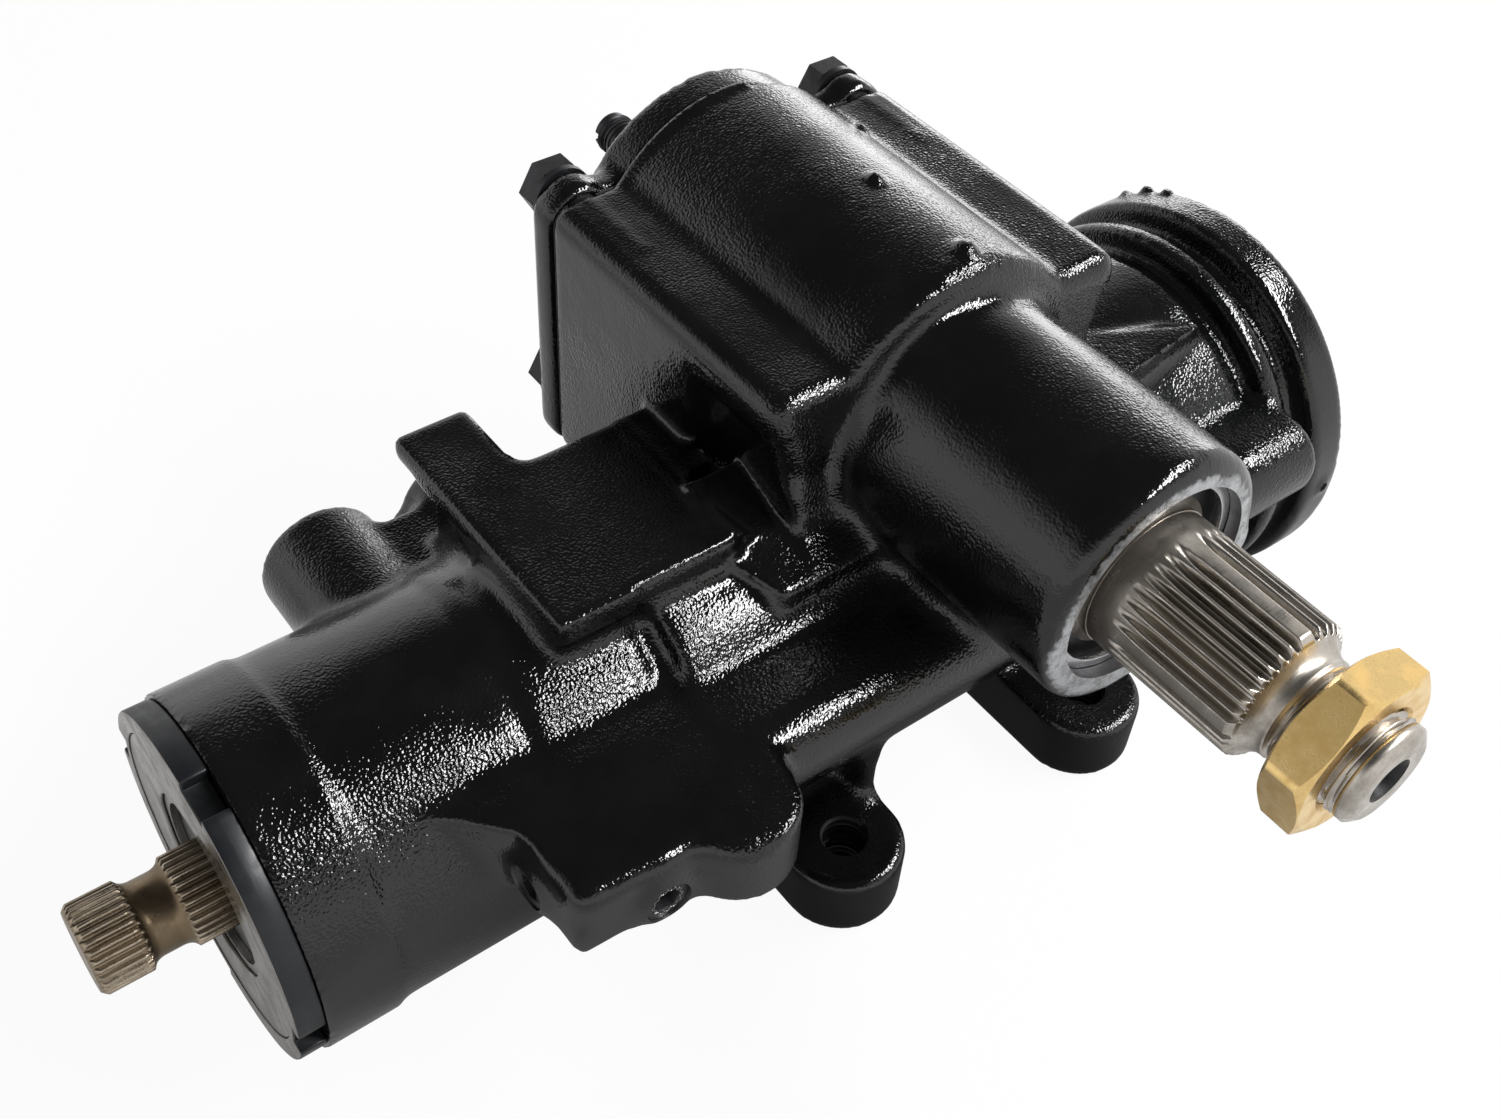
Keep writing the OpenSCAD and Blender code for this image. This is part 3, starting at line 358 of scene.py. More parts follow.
def drum(radius, low, high, axis, cross, sides=96):
    turnTo = {"x": Matrix.Rotation(math.pi / 2, 4, "Y"), "y": Matrix.Rotation(-math.pi / 2, 4, "X"), "z": Matrix.Identity(4)}[axis]
    middle = (low + high) / 2
    centre = {"x": (middle, *cross), "y": (cross[0], middle, cross[1]), "z": (*cross, middle)}[axis]
    bm = bmesh.new()
    bmesh.ops.create_cone(bm, cap_ends=True, segments=sides, radius1=radius, radius2=radius, depth=high - low,
                          matrix=Matrix.Translation(centre) @ turnTo)
    mesh = bpy.data.meshes.new("drum")
    bm.to_mesh(mesh)
    bm.free()
    return mesh


def trianglesOf(mesh):
    mesh.calc_loop_triangles()
    points = np.empty(len(mesh.vertices) * 3, np.float32)
    mesh.vertices.foreach_get("co", points)
    triangles = np.empty(len(mesh.loop_triangles) * 3, np.int32)
    mesh.loop_triangles.foreach_get("vertices", triangles)
    return points.reshape(-1, 3), triangles.reshape(-1, 3).astype(np.uint32)


def mergedCopy(node):
    bm = bmesh.new()
    bm.from_mesh(nodes[node].data)
    bmesh.ops.remove_doubles(bm, verts=bm.verts, dist=1e-6)
    return bm


def meshFrom(bm, name):
    mesh = bpy.data.meshes.new(name)
    bm.to_mesh(mesh)
    bm.free()
    return mesh


def levelSet(points, faces, voxel, reach):
    kind = "triangles" if faces.shape[1] == 3 else "quads"
    return openvdb.FloatGrid.createLevelSetFromPolygons(points, transform=openvdb.createLinearTransform(voxelSize=voxel),
                                                        halfWidth=reach / voxel + 3, **{kind: faces})


def smoothStep(value, low, high):
    t = np.clip((value - low) / (high - low), 0, 1)
    return (t * t * (3 - 2 * t)).astype(np.float32)


# edges are softer round the front of the tower and the shelf's block, and inner corners tighter round the end flange
casting = {"voxel": 0.0009, "fillet": 0.0032, "edge": 0.0012, "smoothing": 1, "share": 0.4, "softEdge": 0.0036, "softY": (-0.006, -0.012),
           "softZ": (0.106, 0.114), "blockX": (-0.078, -0.086), "blockY": (-0.046, -0.052), "blockZ": (0.070, 0.076),
           "tightFillet": 0.0011, "tightX": (0.070, 0.078), "nubBlend": 0.0011}
boring = {"plugWider": 0.0003, "plugShorter": 0.0001, "cutLonger": 0.00005, "cutSides": 72, "margin": 6, "band": 3}


def mergeIn(field, spot, away, softness):
    share = np.clip(0.5 + 0.5 * (field[spot] - away) / softness, 0, 1)
    field[spot] += share * (away - field[spot]) - softness * share * (1 - share)


def castSkin(name, node, bores, nubs, forms, values, material, boreMaterial):
    soups = [trianglesOf(nodes[node].data)]
    for radius, low, high, axis, cross in bores:  # bores are filled first, so that only the outside is rounded
        filler = drum(radius + boring["plugWider"], low + boring["plugShorter"], high - boring["plugShorter"], axis, cross)
        soups.append(trianglesOf(filler))
    starts = np.cumsum([0] + [len(p) for p, t in soups])
    points = np.concatenate([p for p, t in soups])
    triangles = np.concatenate([t + s for (p, t), s in zip(soups, starts)]).astype(np.uint32)
    voxel = values["voxel"]
    corner = np.floor(points.min(axis=0) / voxel).astype(int) - boring["margin"]
    shape = np.ceil(points.max(axis=0) / voxel).astype(int) + boring["margin"] - corner
    axes = [(corner[k] + np.arange(shape[k])) * voxel for k in range(3)]

    def rounded(fillet, edge):  # out to fill the inner corners, in past the surface and back out to round the edges
        outer = levelSet(points, triangles, voxel, fillet).convertToQuads(isovalue=fillet)
        inner = levelSet(*outer, voxel, fillet + edge).convertToQuads(isovalue=-fillet - edge)
        result = np.empty(shape, np.float32)
        levelSet(*inner, voxel, edge).copyToArray(result, ijk=corner.tolist())
        return result - edge

    def patch(low, high):
        spot = tuple(slice(max(0, int(low[k] / voxel - corner[k])), int(high[k] / voxel - corner[k]) + 2) for k in range(3))
        return spot, axes[0][spot[0]][:, None, None], axes[1][spot[1]][None, :, None], axes[2][spot[2]][None, None, :]

    def ramp(k, key):  # rises from 0 to 1 between two places on an axis
        return smoothStep(axes[k], *values[key]).reshape([-1 if k == other else 1 for other in range(3)])

    field = rounded(values["fillet"], values["edge"])
    if "softEdge" in values:
        weight = np.maximum(ramp(1, "softY") * ramp(2, "softZ"), ramp(1, "blockY") * ramp(0, "blockX") * ramp(2, "blockZ"))
        field += weight * (rounded(values["fillet"], values["softEdge"]) - field)
        field += ramp(0, "tightX") * (rounded(values["tightFillet"], values["edge"]) - field)
    if "grow" in values:  # the flange is brought flush and cut off square at the joint
        spot, x, y, z = patch([axis[0] for axis in axes], [axis[-1] for axis in axes])
        out = np.hypot(x, z - sectorZ)
        grown = field - values["grow"] * smoothStep(out, values["hub"], values["rim"])
        field = np.where(out > values["hub"], np.maximum(grown, values["joint"] - y), field).astype(np.float32)
    for place, radius in nubs:
        spot, x, y, z = patch([c - 2 * radius for c in place], [c + 2 * radius for c in place])
        away = np.sqrt((x - place[0]) ** 2 + (y - place[1]) ** 2 + (z - place[2]) ** 2) - radius
        mergeIn(field, spot, away, values["nubBlend"])
    for form in forms:  # each is bounded by planes, and some by a cylinder about the worm or a bead round the sector axis
        spot, x, y, z = patch(*form["box"])
        away = np.hypot(y, z - wormZ) - form["radius"] if "radius" in form else -1
        if "ring" in form:
            away = np.hypot(np.hypot(x, z - sectorZ) - form["ring"][0], y - form["ring"][1]) - form["bead"]
        for nx, ny, nz, offset in form["planes"]:
            away = np.maximum(away, nx * x + ny * y + nz * z - offset)
        mergeIn(field, spot, away, form["blend"])
    band = boring["band"] * voxel
    grid = openvdb.FloatGrid(band)
    grid.copyFromArray(np.clip(field, -band, band), ijk=corner.tolist(), tolerance=1e-6)
    grid.transform = openvdb.createLinearTransform(voxelSize=voxel)
    points, quads = grid.convertToQuads(isovalue=0.0)
    mesh = bpy.data.meshes.new(name)
    mesh.from_pydata(points.tolist(), [], quads.tolist())
    bm = bmesh.new()
    bm.from_mesh(mesh)
    if bm.calc_volume(signed=True) < 0:
        bmesh.ops.reverse_faces(bm, faces=bm.faces)
    bm.to_mesh(mesh)
    bm.free()
    obj = newObject(name, mesh, material)
    smooth = obj.modifiers.new("smooth", "SMOOTH")
    smooth.factor = 0.5
    smooth.iterations = values["smoothing"]
    thin = obj.modifiers.new("thin", "DECIMATE")
    thin.ratio = values["share"]
    bake(obj)
    cutters = []
    for radius, low, high, axis, cross in bores:
        inside = oilyBore if axis == "z" else boreMaterial  # the ears' holes are dark with oil
        hole = drum(radius, low - boring["cutLonger"], high + boring["cutLonger"], axis, cross, boring["cutSides"])
        cutter = newObject("cutter", hole, inside)
        cut = obj.modifiers.new("cut", "BOOLEAN")
        cut.operation = "DIFFERENCE"
        cut.solver = "MANIFOLD"
        cut.material_mode = "TRANSFER"
        cut.object = cutter
        cutters.append(cutter)
    bake(obj)
    for cutter in cutters:
        bpy.data.objects.remove(cutter)
    softShade(obj.data, 40)
    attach(obj, "case")
    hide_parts(node)
    print(name, len(obj.data.polygons), "faces")


# bores of the casting: radius, low end, high end, axis, place of the axis
onWorm = (0, wormZ)
onSector = (0, sectorZ)
boltPlaces = [(x, wormZ + z) for x in (-0.0387, 0.0387) for z in (0.0188, 0.0702)]
earPlaces = [(x, y) for x in (-0.03875, 0.03875) for y in (-0.0434, 0.0434)]
portZ = wormZ + 0.013
plugZ = wormZ + 0.0157
housingBores = [
    (0.03305, -0.1622, -0.1361, "x", onWorm), (0.027, -0.140, -0.068, "x", onWorm), (0.0155, -0.070, -0.060, "x", onWorm),
    (0.034925, -0.062, 0.100, "x", onWorm), (0.0381, 0.094, 0.1098, "x", onWorm), (0.03955, 0.1031, 0.1053, "x", onWorm),
    (0.033733, -0.009, 0.0626, "y", onSector), (0.02069, -0.070, -0.005, "y", onSector), (0.023, -0.0772, -0.0562, "y", onSector),
    (0.0243, -0.0742, -0.0728, "y", onSector),
    (0.00794, 0.044, 0.056, "y", (-0.1135, portZ)), (0.00873, 0.044, 0.056, "y", (-0.080, portZ)),
    (0.00644, 0.039, 0.050, "y", (-0.1135, portZ)), (0.00723, 0.039, 0.050, "y", (-0.080, portZ)),
    (0.00485, -0.06294, -0.04894, "y", (-0.1026, plugZ)), (0.00485, -0.1228, -0.1088, "x", (-0.0446, plugZ)),
    (0.0013, -0.0513, -0.0381, "y", (0.1042, wormZ + 0.0019)),
]
housingBores += [(0.00481, 0.0396, 0.0626, "y", place) for place in boltPlaces]
housingBores += [(0.00556, 0, 0.018, "z", place) for place in earPlaces]
castNubs = [  # three on the dome and three on the flange: place and radius
    ((0.0207, 0.0415, wormZ + 0.0820), 0.0020), ((0.0044, 0.0180, wormZ + 0.0882), 0.0022), ((0.0039, -0.0105, wormZ + 0.0880), 0.0028),
    ((0.1075, 0.0316, wormZ + 0.0388), 0.0015), ((0.1080, 0.0258, wormZ + 0.0430), 0.0018), ((0.1078, 0.0196, wormZ + 0.0460), 0.0016)]
padSide = [(-1, 0, 0, 0.056), (0, 0, -1, -wormZ - 0.02)]  # where the forms beside the pad run into the casting
padLength = [(0, -1, 0, 0.0155), (0, 1, 0, 0.0245)]
castForms = [
    # band at the input end
    {"box": ((-0.165, -0.045, 0.010), (-0.140, 0.045, 0.103)), "radius": 0.0386, "blend": 0.0003,
     "planes": [(-1, 0, 0, 0.1622), (1, 0, 0, -0.1462)]},
    # sloped top of the tower's foot
    {"box": ((-0.064, -0.034, 0.080), (0.056, 0.002, 0.106)), "blend": 0.0014,
     "planes": [(0, -0.41, 0.912, 0.09599), (0, -1, 0, 0.0277), (-0.832, -0.555, 0, 0.05697), (-1, 0, 0, 0.056), (1, 0, 0, 0.050),
                (0, 1, 0, 0), (0, 0, -1, -0.085)]},
    # bead along the cover's joint
    {"box": ((-0.036, 0.058, sectorZ + 0.008), (0.008, 0.066, sectorZ + 0.040)), "ring": (0.0358, 0.0620), "bead": 0.0011,
     "blend": 0.0012, "planes": [(1, 0, 0, 0.004), (-1, 0, 0, 0.035)]},
    # rib between the tower and the flange
    {"box": ((0.036, -0.032, 0.085), (0.084, 0.004, 0.106)), "blend": 0.0004,
     "planes": [(0.1207, -0.9927, 0, 0.0291), (0.4276, 0.904, 0, 0.0163), (-1, 0, 0, -0.042), (0, 0, 1, wormZ + 0.0437),
                (0, 0, -1, -0.088)]},
    # floor of the recess beside the pad
    {"box": ((-0.060, -0.020, 0.074), (-0.034, 0.028, 0.100)), "blend": 0.0012,
     "planes": [(0, 0, 1, wormZ + 0.0390), (1, 0, 0, -0.036)] + padSide + padLength},
    # narrow gap beside the pad, filled level
    {"box": ((-0.060, -0.020, 0.074), (-0.034, 0.030, 0.107)), "blend": 0.0008,
     "planes": [(0, 0, 1, wormZ + 0.0463), (1, 0, 0, -0.0455)] + padSide + [(0, -1, 0, -0.004), (0, 1, 0, 0.0258)]},
    # sloped strip between the pad and the tower
    {"box": ((-0.060, -0.020, 0.074), (-0.034, 0.028, 0.107)), "blend": 0.0008,
     "planes": [(0, 0, 1, wormZ + 0.0465), (0.7071, 0, 0.7071, 0.0350), (1, 0, 0, -0.038)] + padSide + padLength},
]
castSkin("housingSkin", "housing", housingBores, castNubs, castForms, casting, blackPaint, machinedIron)
coverBores = [(0.02001, 0.038, 0.0602, "y", onSector), (0.00481, 0.058, 0.0772, "y", onSector)]
coverBores += [(0.00516, 0.0632, 0.0702, "y", place) for place in boltPlaces]
coverCasting = {"voxel": 0.0009, "fillet": 0.0026, "edge": 0.0012, "smoothing": 1, "share": 0.4, "grow": 0.0014, "hub": 0.0345,
                "rim": 0.043, "joint": 0.0629}
castSkin("coverSkin", "side_cover", coverBores, [], [], coverCasting, coverPaint, machinedIron)


# shafts and threads are built as rings of points about an axis
def ringedMesh(name, stations, radiusAt, sides, place):
    angles = np.linspace(0, 2 * np.pi, sides, endpoint=False)
    rows = []
    for station in stations:
        r = radiusAt(station, angles) * np.ones(sides)
        rows.append(np.stack(place(station[0] if isinstance(station, tuple) else station, r * np.cos(angles), r * np.sin(angles)), axis=1))
    verts = np.concatenate(rows)
    faces = []
    for i in range(len(stations) - 1):
        for k in range(sides):
            j = (k + 1) % sides
            faces.append((i * sides + k, i * sides + j, (i + 1) * sides + j, (i + 1) * sides + k))
    faces.append(tuple(range(sides - 1, -1, -1)))
    faces.append(tuple(range((len(stations) - 1) * sides, len(stations) * sides)))
    mesh = bpy.data.meshes.new(name)
    mesh.from_pydata(verts.tolist(), [], faces)
    bm = bmesh.new()
    bm.from_mesh(mesh)
    bmesh.ops.recalc_face_normals(bm, faces=bm.faces)
    bm.to_mesh(mesh)
    bm.free()
    return mesh


def alongSector(station, a, b):
    return a, np.full_like(a, -station), sectorZ + b


def alongWorm(station, a, b):
    return np.full_like(a, station), a, wormZ + b


def trimmed(node, point, normal):
    bm = mergedCopy(node)
    bmesh.ops.bisect_plane(bm, geom=bm.verts[:] + bm.edges[:] + bm.faces[:], plane_co=point, plane_no=normal, clear_outer=True)
    bmesh.ops.holes_fill(bm, edges=[e for e in bm.edges if e.is_boundary], sides=0)
    return bm


def joined(name, bm, mesh, material, degrees):
    bm.from_mesh(mesh)
    result = meshFrom(bm, name)
    result.materials.clear()
    obj = newObject(name, result, material)
    softShade(result, degrees)
    return obj


output = {"land": 0.0158, "tip": 0.01562, "depth": 0.0019, "runFrom": 0.0805, "runFull": 0.0895, "splineEnd": 0.1100, "teeth": 36,
          "neck": 0.0113, "crest": 0.0111, "threadFrom": 0.1145, "threadTo": 0.1296, "pitch": 0.001814, "threadDepth": 0.001, "end": 0.1334,
          "grooveHalf": 0.40, "flank": 0.24, "taper": 0.0002, "chamfer": 0.0014, "swell": 0.0026, "undercut": 0.0012,
          "undercutLength": 0.0008, "holeFrom": 0.127, "holeRadius": 0.0046, "sides": 432}


def outputRadius(station, angles):
    if isinstance(station, tuple):  # the centre hole in the end face
        return station[1]
    u, o = station, output
    if u <= o["splineEnd"] - 0.0001:
        taper = o["land"] if u < o["runFrom"] else o["tip"] - o["taper"] * (u - o["runFrom"]) / (o["splineEnd"] - o["runFrom"])
        index = np.floor(angles / (2 * np.pi) * o["teeth"] + 0.5)
        across = np.abs(angles / (2 * np.pi) * o["teeth"] - index)
        cutDepth = o["depth"] * np.clip((o["grooveHalf"] - across) / o["flank"], 0, 1)
        cutDepth[index % (o["teeth"] // 4) == 0] = 0  # four wide master teeth
        reach = np.clip((u - o["runFrom"]) / (o["runFull"] - o["runFrom"]), 0, 1)
        lift = o["depth"] * (1 - reach) ** 2
        r = taper - np.maximum(cutDepth - lift, 0)
        chamfer = o["tip"] - max(0, u - (o["splineEnd"] - o["chamfer"]))
        return np.minimum(r, chamfer)
    if u < o["threadFrom"]:
        t = (u - o["splineEnd"]) / (o["threadFrom"] - o["splineEnd"])
        return np.full_like(angles, o["neck"] + o["swell"] * (1 - min(1, t * 1.25)) ** 2)
    if u < o["threadTo"]:
        phase = (u / o["pitch"] + angles / (2 * np.pi)) % 1
        fade = min(1, (u - o["threadFrom"]) / 0.0012, (o["threadTo"] - u) / 0.0006)
        return o["crest"] - o["threadDepth"] * fade * np.clip(np.abs(2 * phase - 1) * 1.25 - 0.12, 0, 1)
    if u < o["threadTo"] + o["undercutLength"]:
        return np.full_like(angles, o["crest"] - o["undercut"])
    return np.full_like(angles, min(o["crest"] - 0.0002, o["crest"] - 0.0002 - (u - o["end"] + o["chamfer"]) * 1.3))


stations = [0.074, 0.0775, 0.0800] + list(np.arange(0.0805, 0.0900, 0.0006)) + [0.0920, 0.0960, 0.1000, 0.1040, 0.1070]
stations += list(np.arange(0.1080, 0.1099, 0.00035)) + [0.10989] + list(np.arange(0.1100, 0.1145, 0.0004))
stations += list(np.arange(0.1145, 0.1296, 0.0003)) + [0.1296, 0.1303, 0.1305, 0.1312, 0.1319, 0.1324, 0.1329, 0.1334]
stations = sorted(set(round(float(s), 6) for s in stations))
stations += [(0.1334, 0.0050), (0.1320, 0.0039), (0.1275, 0.0037)]
outputEnd = ringedMesh("outputEnd", stations, outputRadius, output["sides"], alongSector)
shaftBody = trimmed("sector_shaft", (0, -0.0745, 0), (0, -1, 0))
sectorPiece = joined("sectorShaft", shaftBody, outputEnd, shaftSteel, 38)
sectorPiece.data.materials.append(oilyBore)
for polygon in sectorPiece.data.polygons:  # the centre hole is dark
    if polygon.center.y < -output["holeFrom"] and math.hypot(polygon.center.x, polygon.center.z - sectorZ) < output["holeRadius"]:
        polygon.material_index = 1
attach(sectorPiece, "sector")
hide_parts("sector_shaft")
print("sector shaft made")

nut = {"near": 0.1184, "far": 0.1278, "flats": 0.03334, "hole": 0.0112, "cornerAt": math.radians(49), "chamfer": math.radians(30),
       "bevel": 0.0009, "faceShare": 0.985, "sides": 144}


def nutRadius(station, angles):
    u, part = station
    half = nut["flats"] / 2
    hexagon = half / np.cos((angles - nut["cornerAt"]) % (np.pi / 3) - np.pi / 6)
    return {"hole": nut["hole"], "bevel": nut["hole"] + nut["bevel"], "face": half * nut["faceShare"], "side": hexagon}[part]


def nutPlace(u, a, b):
    r = np.hypot(a, b)
    half = nut["flats"] / 2
    drop = np.maximum(0, (r - half * nut["faceShare"]) * math.tan(nut["chamfer"]))
    y = -(u + np.where(u < (nut["near"] + nut["far"]) / 2, drop, -drop))
    return a, y * np.ones_like(a), sectorZ + b


nutStations = [(nut["near"] + nut["bevel"], "hole"), (nut["near"], "bevel"), (nut["near"], "face"), (nut["near"], "side"),
               (nut["far"], "side"), (nut["far"], "face"), (nut["far"], "bevel"), (nut["far"] - nut["bevel"], "hole")]
nutMesh = ringedMesh("pitmanNut", nutStations, nutRadius, nut["sides"], nutPlace)
bm = bmesh.new()
bm.from_mesh(nutMesh)
bm.faces.ensure_lookup_table()
ends = [f for f in bm.faces if len(f.verts) == nut["sides"]]
bmesh.ops.delete(bm, geom=ends, context="FACES_ONLY")
bmesh.ops.bridge_loops(bm, edges=[e for e in bm.edges if e.is_boundary])
bmesh.ops.recalc_face_normals(bm, faces=bm.faces)
bm.to_mesh(nutMesh)
bm.free()
pitmanNut = newObject("pitmanNut", nutMesh, platedBrass)
softShade(nutMesh, 24)
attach(pitmanNut, "sector")
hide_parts("pitman_nut")

stub = {"end": -0.193, "tip": 0.00952, "depth": 0.00085, "teeth": 30, "first": 0.0112, "waistTo": 0.0178, "waist": 0.0079, "last": 0.0285,
        "grooveHalf": 0.36, "flank": 0.22, "chamfer": 0.0011, "fillet": 0.0026, "before": 0.0008, "ahead": 0.0012}


def quarterRound(t):
    return 1 - math.sqrt(max(0.0, 1 - min(1.0, max(0.0, t)) ** 2))


def stubRadius(x, angles):
    s = stub
    u = x - s["end"]
    phase = np.abs((angles / (2 * np.pi) * s["teeth"]) % 1 - 0.5)
    teeth = s["tip"] - s["depth"] * np.clip((s["grooveHalf"] - phase) / s["flank"], 0, 1)
    shape = s["tip"] - s["chamfer"] * max(0, 1 - u / s["chamfer"])
    if s["first"] - s["before"] < u < s["waistTo"]:
        into = (u - s["first"] + s["before"]) / s["fillet"]
        shape = s["tip"] - (s["tip"] - s["waist"]) * (1 - quarterRound(1 - into))
    if u >= s["waistTo"] - s["ahead"]:
        back = (u - s["waistTo"] + s["ahead"]) / s["fillet"]
        shape = s["waist"] + (s["tip"] - s["waist"]) * quarterRound(min(1, back)) if back < 1 else s["tip"]
    return np.minimum(teeth, shape)


stations = [stub["end"] + u for u in [0, 0.0004, 0.0008, 0.0012, 0.003, 0.006, 0.009] + list(np.arange(0.0102, 0.0135, 0.0003)) + [0.015]
            + list(np.arange(0.0164, 0.0196, 0.0003)) + [0.021, 0.024, 0.027, stub["last"]]]
stubEnd = ringedMesh("stubEnd", stations, stubRadius, 360, alongWorm)
stubBody = trimmed("stub_shaft", (-0.1648, 0, 0), (-1, 0, 0))
stubPiece = joined("stubShaft", stubBody, stubEnd, stubSteel, 38)
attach(stubPiece, "input")
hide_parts("stub_shaft")
print("stub shaft made")


# machined pieces keep their solid's shape and get broken edges
def brokenEdges(name, node, body, material, width):
    bm = mergedCopy(node)
    bmesh.ops.dissolve_limit(bm, angle_limit=math.radians(1.0), verts=bm.verts, edges=bm.edges)
    mesh = meshFrom(bm, name)
    mesh.materials.clear()
    obj = newObject(name, mesh, material)
    bevel = obj.modifiers.new("edge", "BEVEL")
    bevel.width = width
    bevel.segments = 2
    bevel.limit_method = "ANGLE"
    bevel.angle_limit = math.radians(40)
    bake(obj)
    softShade(obj.data, 32)
    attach(obj, body)
    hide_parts(node)
    return obj


lockNut = brokenEdges("plugLockNut", "plug_lock_nut", "case", lockNutBlack, 0.0005)
lockNut.data.materials.append(plugSteel)
for polygon in lockNut.data.polygons:  # its outer face is bare
    if polygon.normal.x < -0.8:
        polygon.material_index = 1
brokenEdges("adjusterPlug", "adjuster_plug", "case", plugSteel, 0.0006)
brokenEdges("lashLockNut", "lash_lock_nut", "case", boltBlack, 0.0004)
plugs = brokenEdges("galleryPlugs", "gallery_plugs", "case", boltBlack, 0.0004)
frontPlug = {"x": -0.1026, "y": -0.0618, "z": plugZ, "apart": 0.008, "out": 0.0012, "burr": 0.0032, "wave": 0.00028, "thick": 0.00022,
             "points": 12, "around": 96, "across": 6}
for vertex in plugs.data.vertices:  # brought level with the rounded casting
    if abs(vertex.co.x - frontPlug["x"]) < frontPlug["apart"]:
        vertex.co.y -= frontPlug["out"]
around, across = frontPlug["around"], frontPlug["across"]
burrPoints, burrFaces = [], []  # bright burr round the socket's mouth
for turn in np.linspace(0, 2 * np.pi, around, endpoint=False):
    far = frontPlug["burr"] + frontPlug["wave"] * math.cos(frontPlug["points"] * turn)
    for tilt in np.linspace(0, 2 * np.pi, across, endpoint=False):
        r = far + frontPlug["thick"] * math.cos(tilt)
        y = frontPlug["y"] + frontPlug["thick"] * math.sin(tilt)
        burrPoints.append((frontPlug["x"] + r * math.cos(turn), y, frontPlug["z"] + r * math.sin(turn)))
for i in range(around):
    here, there = i * across, (i + 1) % around * across
    for k in range(across):
        side = (k + 1) % across
        burrFaces.append((here + k, here + side, there + side, there + k))
burrMesh = bpy.data.meshes.new("plugBurr")
burrMesh.from_pydata(burrPoints, [], burrFaces)
plugBurr = newObject("plugBurr", burrMesh, plugSteel)
softShade(plugBurr.data, 60)
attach(plugBurr, "case")
brokenEdges("endPlug", "end_plug", "case", machinedIron, 0.0006)
brokenEdges("sealRing", "seal_retaining_ring", "case", groundSector, 0.0002)
brokenEdges("endRing", "end_retaining_ring", "case", groundWorm, 0.0003)
print("machined pieces made")


# node trees for what repeats: threads and bolts
def newTree(name, inputs):
    tree = bpy.data.node_groups.new(name, "GeometryNodeTree")
    tree.interface.new_socket("Places", in_out="INPUT", socket_type="NodeSocketGeometry")
    for label, value in inputs:
        kind = "NodeSocketVector" if isinstance(value, tuple) else "NodeSocketInt" if isinstance(value, int) else "NodeSocketFloat"
        tree.interface.new_socket(label, in_out="INPUT", socket_type=kind).default_value = value
    tree.interface.new_socket("Finish", in_out="INPUT", socket_type="NodeSocketMaterial")
    tree.interface.new_socket("Pieces", in_out="OUTPUT", socket_type="NodeSocketGeometry")
    return tree, tree.nodes.new("NodeGroupInput")


def feed(tree, node, **values):
    for name, value in values.items():
        socket = node.inputs[name.replace("_", " ")]
        if isinstance(value, bpy.types.NodeSocket):
            wire(tree, value, socket)
        else:
            socket.default_value = value
    return node


def placeAll(tree, given, piece):
    spread = feed(tree, tree.nodes.new("GeometryNodeInstanceOnPoints"), Points=given.outputs["Places"], Instance=piece,
                  Rotation=given.outputs["Turn"])
    solid = feed(tree, tree.nodes.new("GeometryNodeRealizeInstances"), Geometry=spread.outputs[0])
    finish = feed(tree, tree.nodes.new("GeometryNodeSetMaterial"), Geometry=solid.outputs[0], Material=given.outputs["Finish"])
    wire(tree, finish.outputs[0], tree.nodes.new("NodeGroupOutput").inputs[0])


def grown(name, tree, places, material, values, body, slot, degrees):
    mesh = bpy.data.meshes.new(name)
    mesh.from_pydata(places, [], [])
    obj = newObject(name, mesh)
    made = obj.modifiers.new("made", "NODES")
    made.node_group = tree
    for item in tree.interface.items_tree:
        if item.name in values:
            made[item.identifier] = values[item.name]
        elif item.name == "Finish":
            made[item.identifier] = material
    bake(obj)
    softShade(obj.data, degrees)
    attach(obj, body)
    print(name, len(obj.data.polygons), "faces")
    return obj


threadTree, given = newTree("spiralThread", [("Radius", 0.0055), ("Pitch", 0.0018), ("Depth", 0.0006), ("Turns", 9.0),
                                             ("Turn", (0.0, 0.0, 0.0))])
height = mathNode(threadTree, "MULTIPLY", given.outputs["Pitch"], given.outputs["Turns"])
spiral = feed(threadTree, threadTree.nodes.new("GeometryNodeCurveSpiral"), Resolution=40, Rotations=given.outputs["Turns"],
              Start_Radius=given.outputs["Radius"], End_Radius=given.outputs["Radius"], Height=height)
ridge = feed(threadTree, threadTree.nodes.new("GeometryNodeCurvePrimitiveCircle"), Resolution=4, Radius=given.outputs["Depth"])
sweep = feed(threadTree, threadTree.nodes.new("GeometryNodeCurveToMesh"), Curve=spiral.outputs[0], Profile_Curve=ridge.outputs[0],
             Fill_Caps=True)
placeAll(threadTree, given, sweep.outputs[0])

alongY = (-math.pi / 2, 0.0, 0.0)
earThread = {"Radius": 0.00562, "Pitch": 0.00181, "Depth": 0.00072, "Turns": 9.0}
grown("earThreads", threadTree, [(x, y, 0.0012) for x, y in earPlaces], oilyBore, earThread, "case", "machined_iron", 30)
portThread = {"Radius": 0.0080, "Pitch": 0.0014, "Depth": 0.0006, "Turns": 7.0, "Turn": alongY}
grown("pressureThread", threadTree, [(-0.1135, 0.0452, portZ)], machinedIron, portThread, "case", "machined_iron", 30)
portThread["Radius"] = 0.0088
grown("returnThread", threadTree, [(-0.080, 0.0452, portZ)], machinedIron, portThread, "case", "machined_iron", 30)
lashThread = {"Radius": 0.00462, "Pitch": 0.00127, "Depth": 0.00055, "Turns": 18.0, "Turn": alongY}
grown("lashThread", threadTree, [(0, 0.0855, sectorZ)], boltBlack, lashThread, "case", "black_steel", 30)

boltTree, given = newTree("hexBolt", [("Flats", 0.0127), ("Head", 0.0052), ("Chamfer", 0.0008), ("Collar", 0.0016), ("Shank", 0.0047),
                                      ("Length", 0.019), ("Turn", (0.0, 0.0, 0.0))])


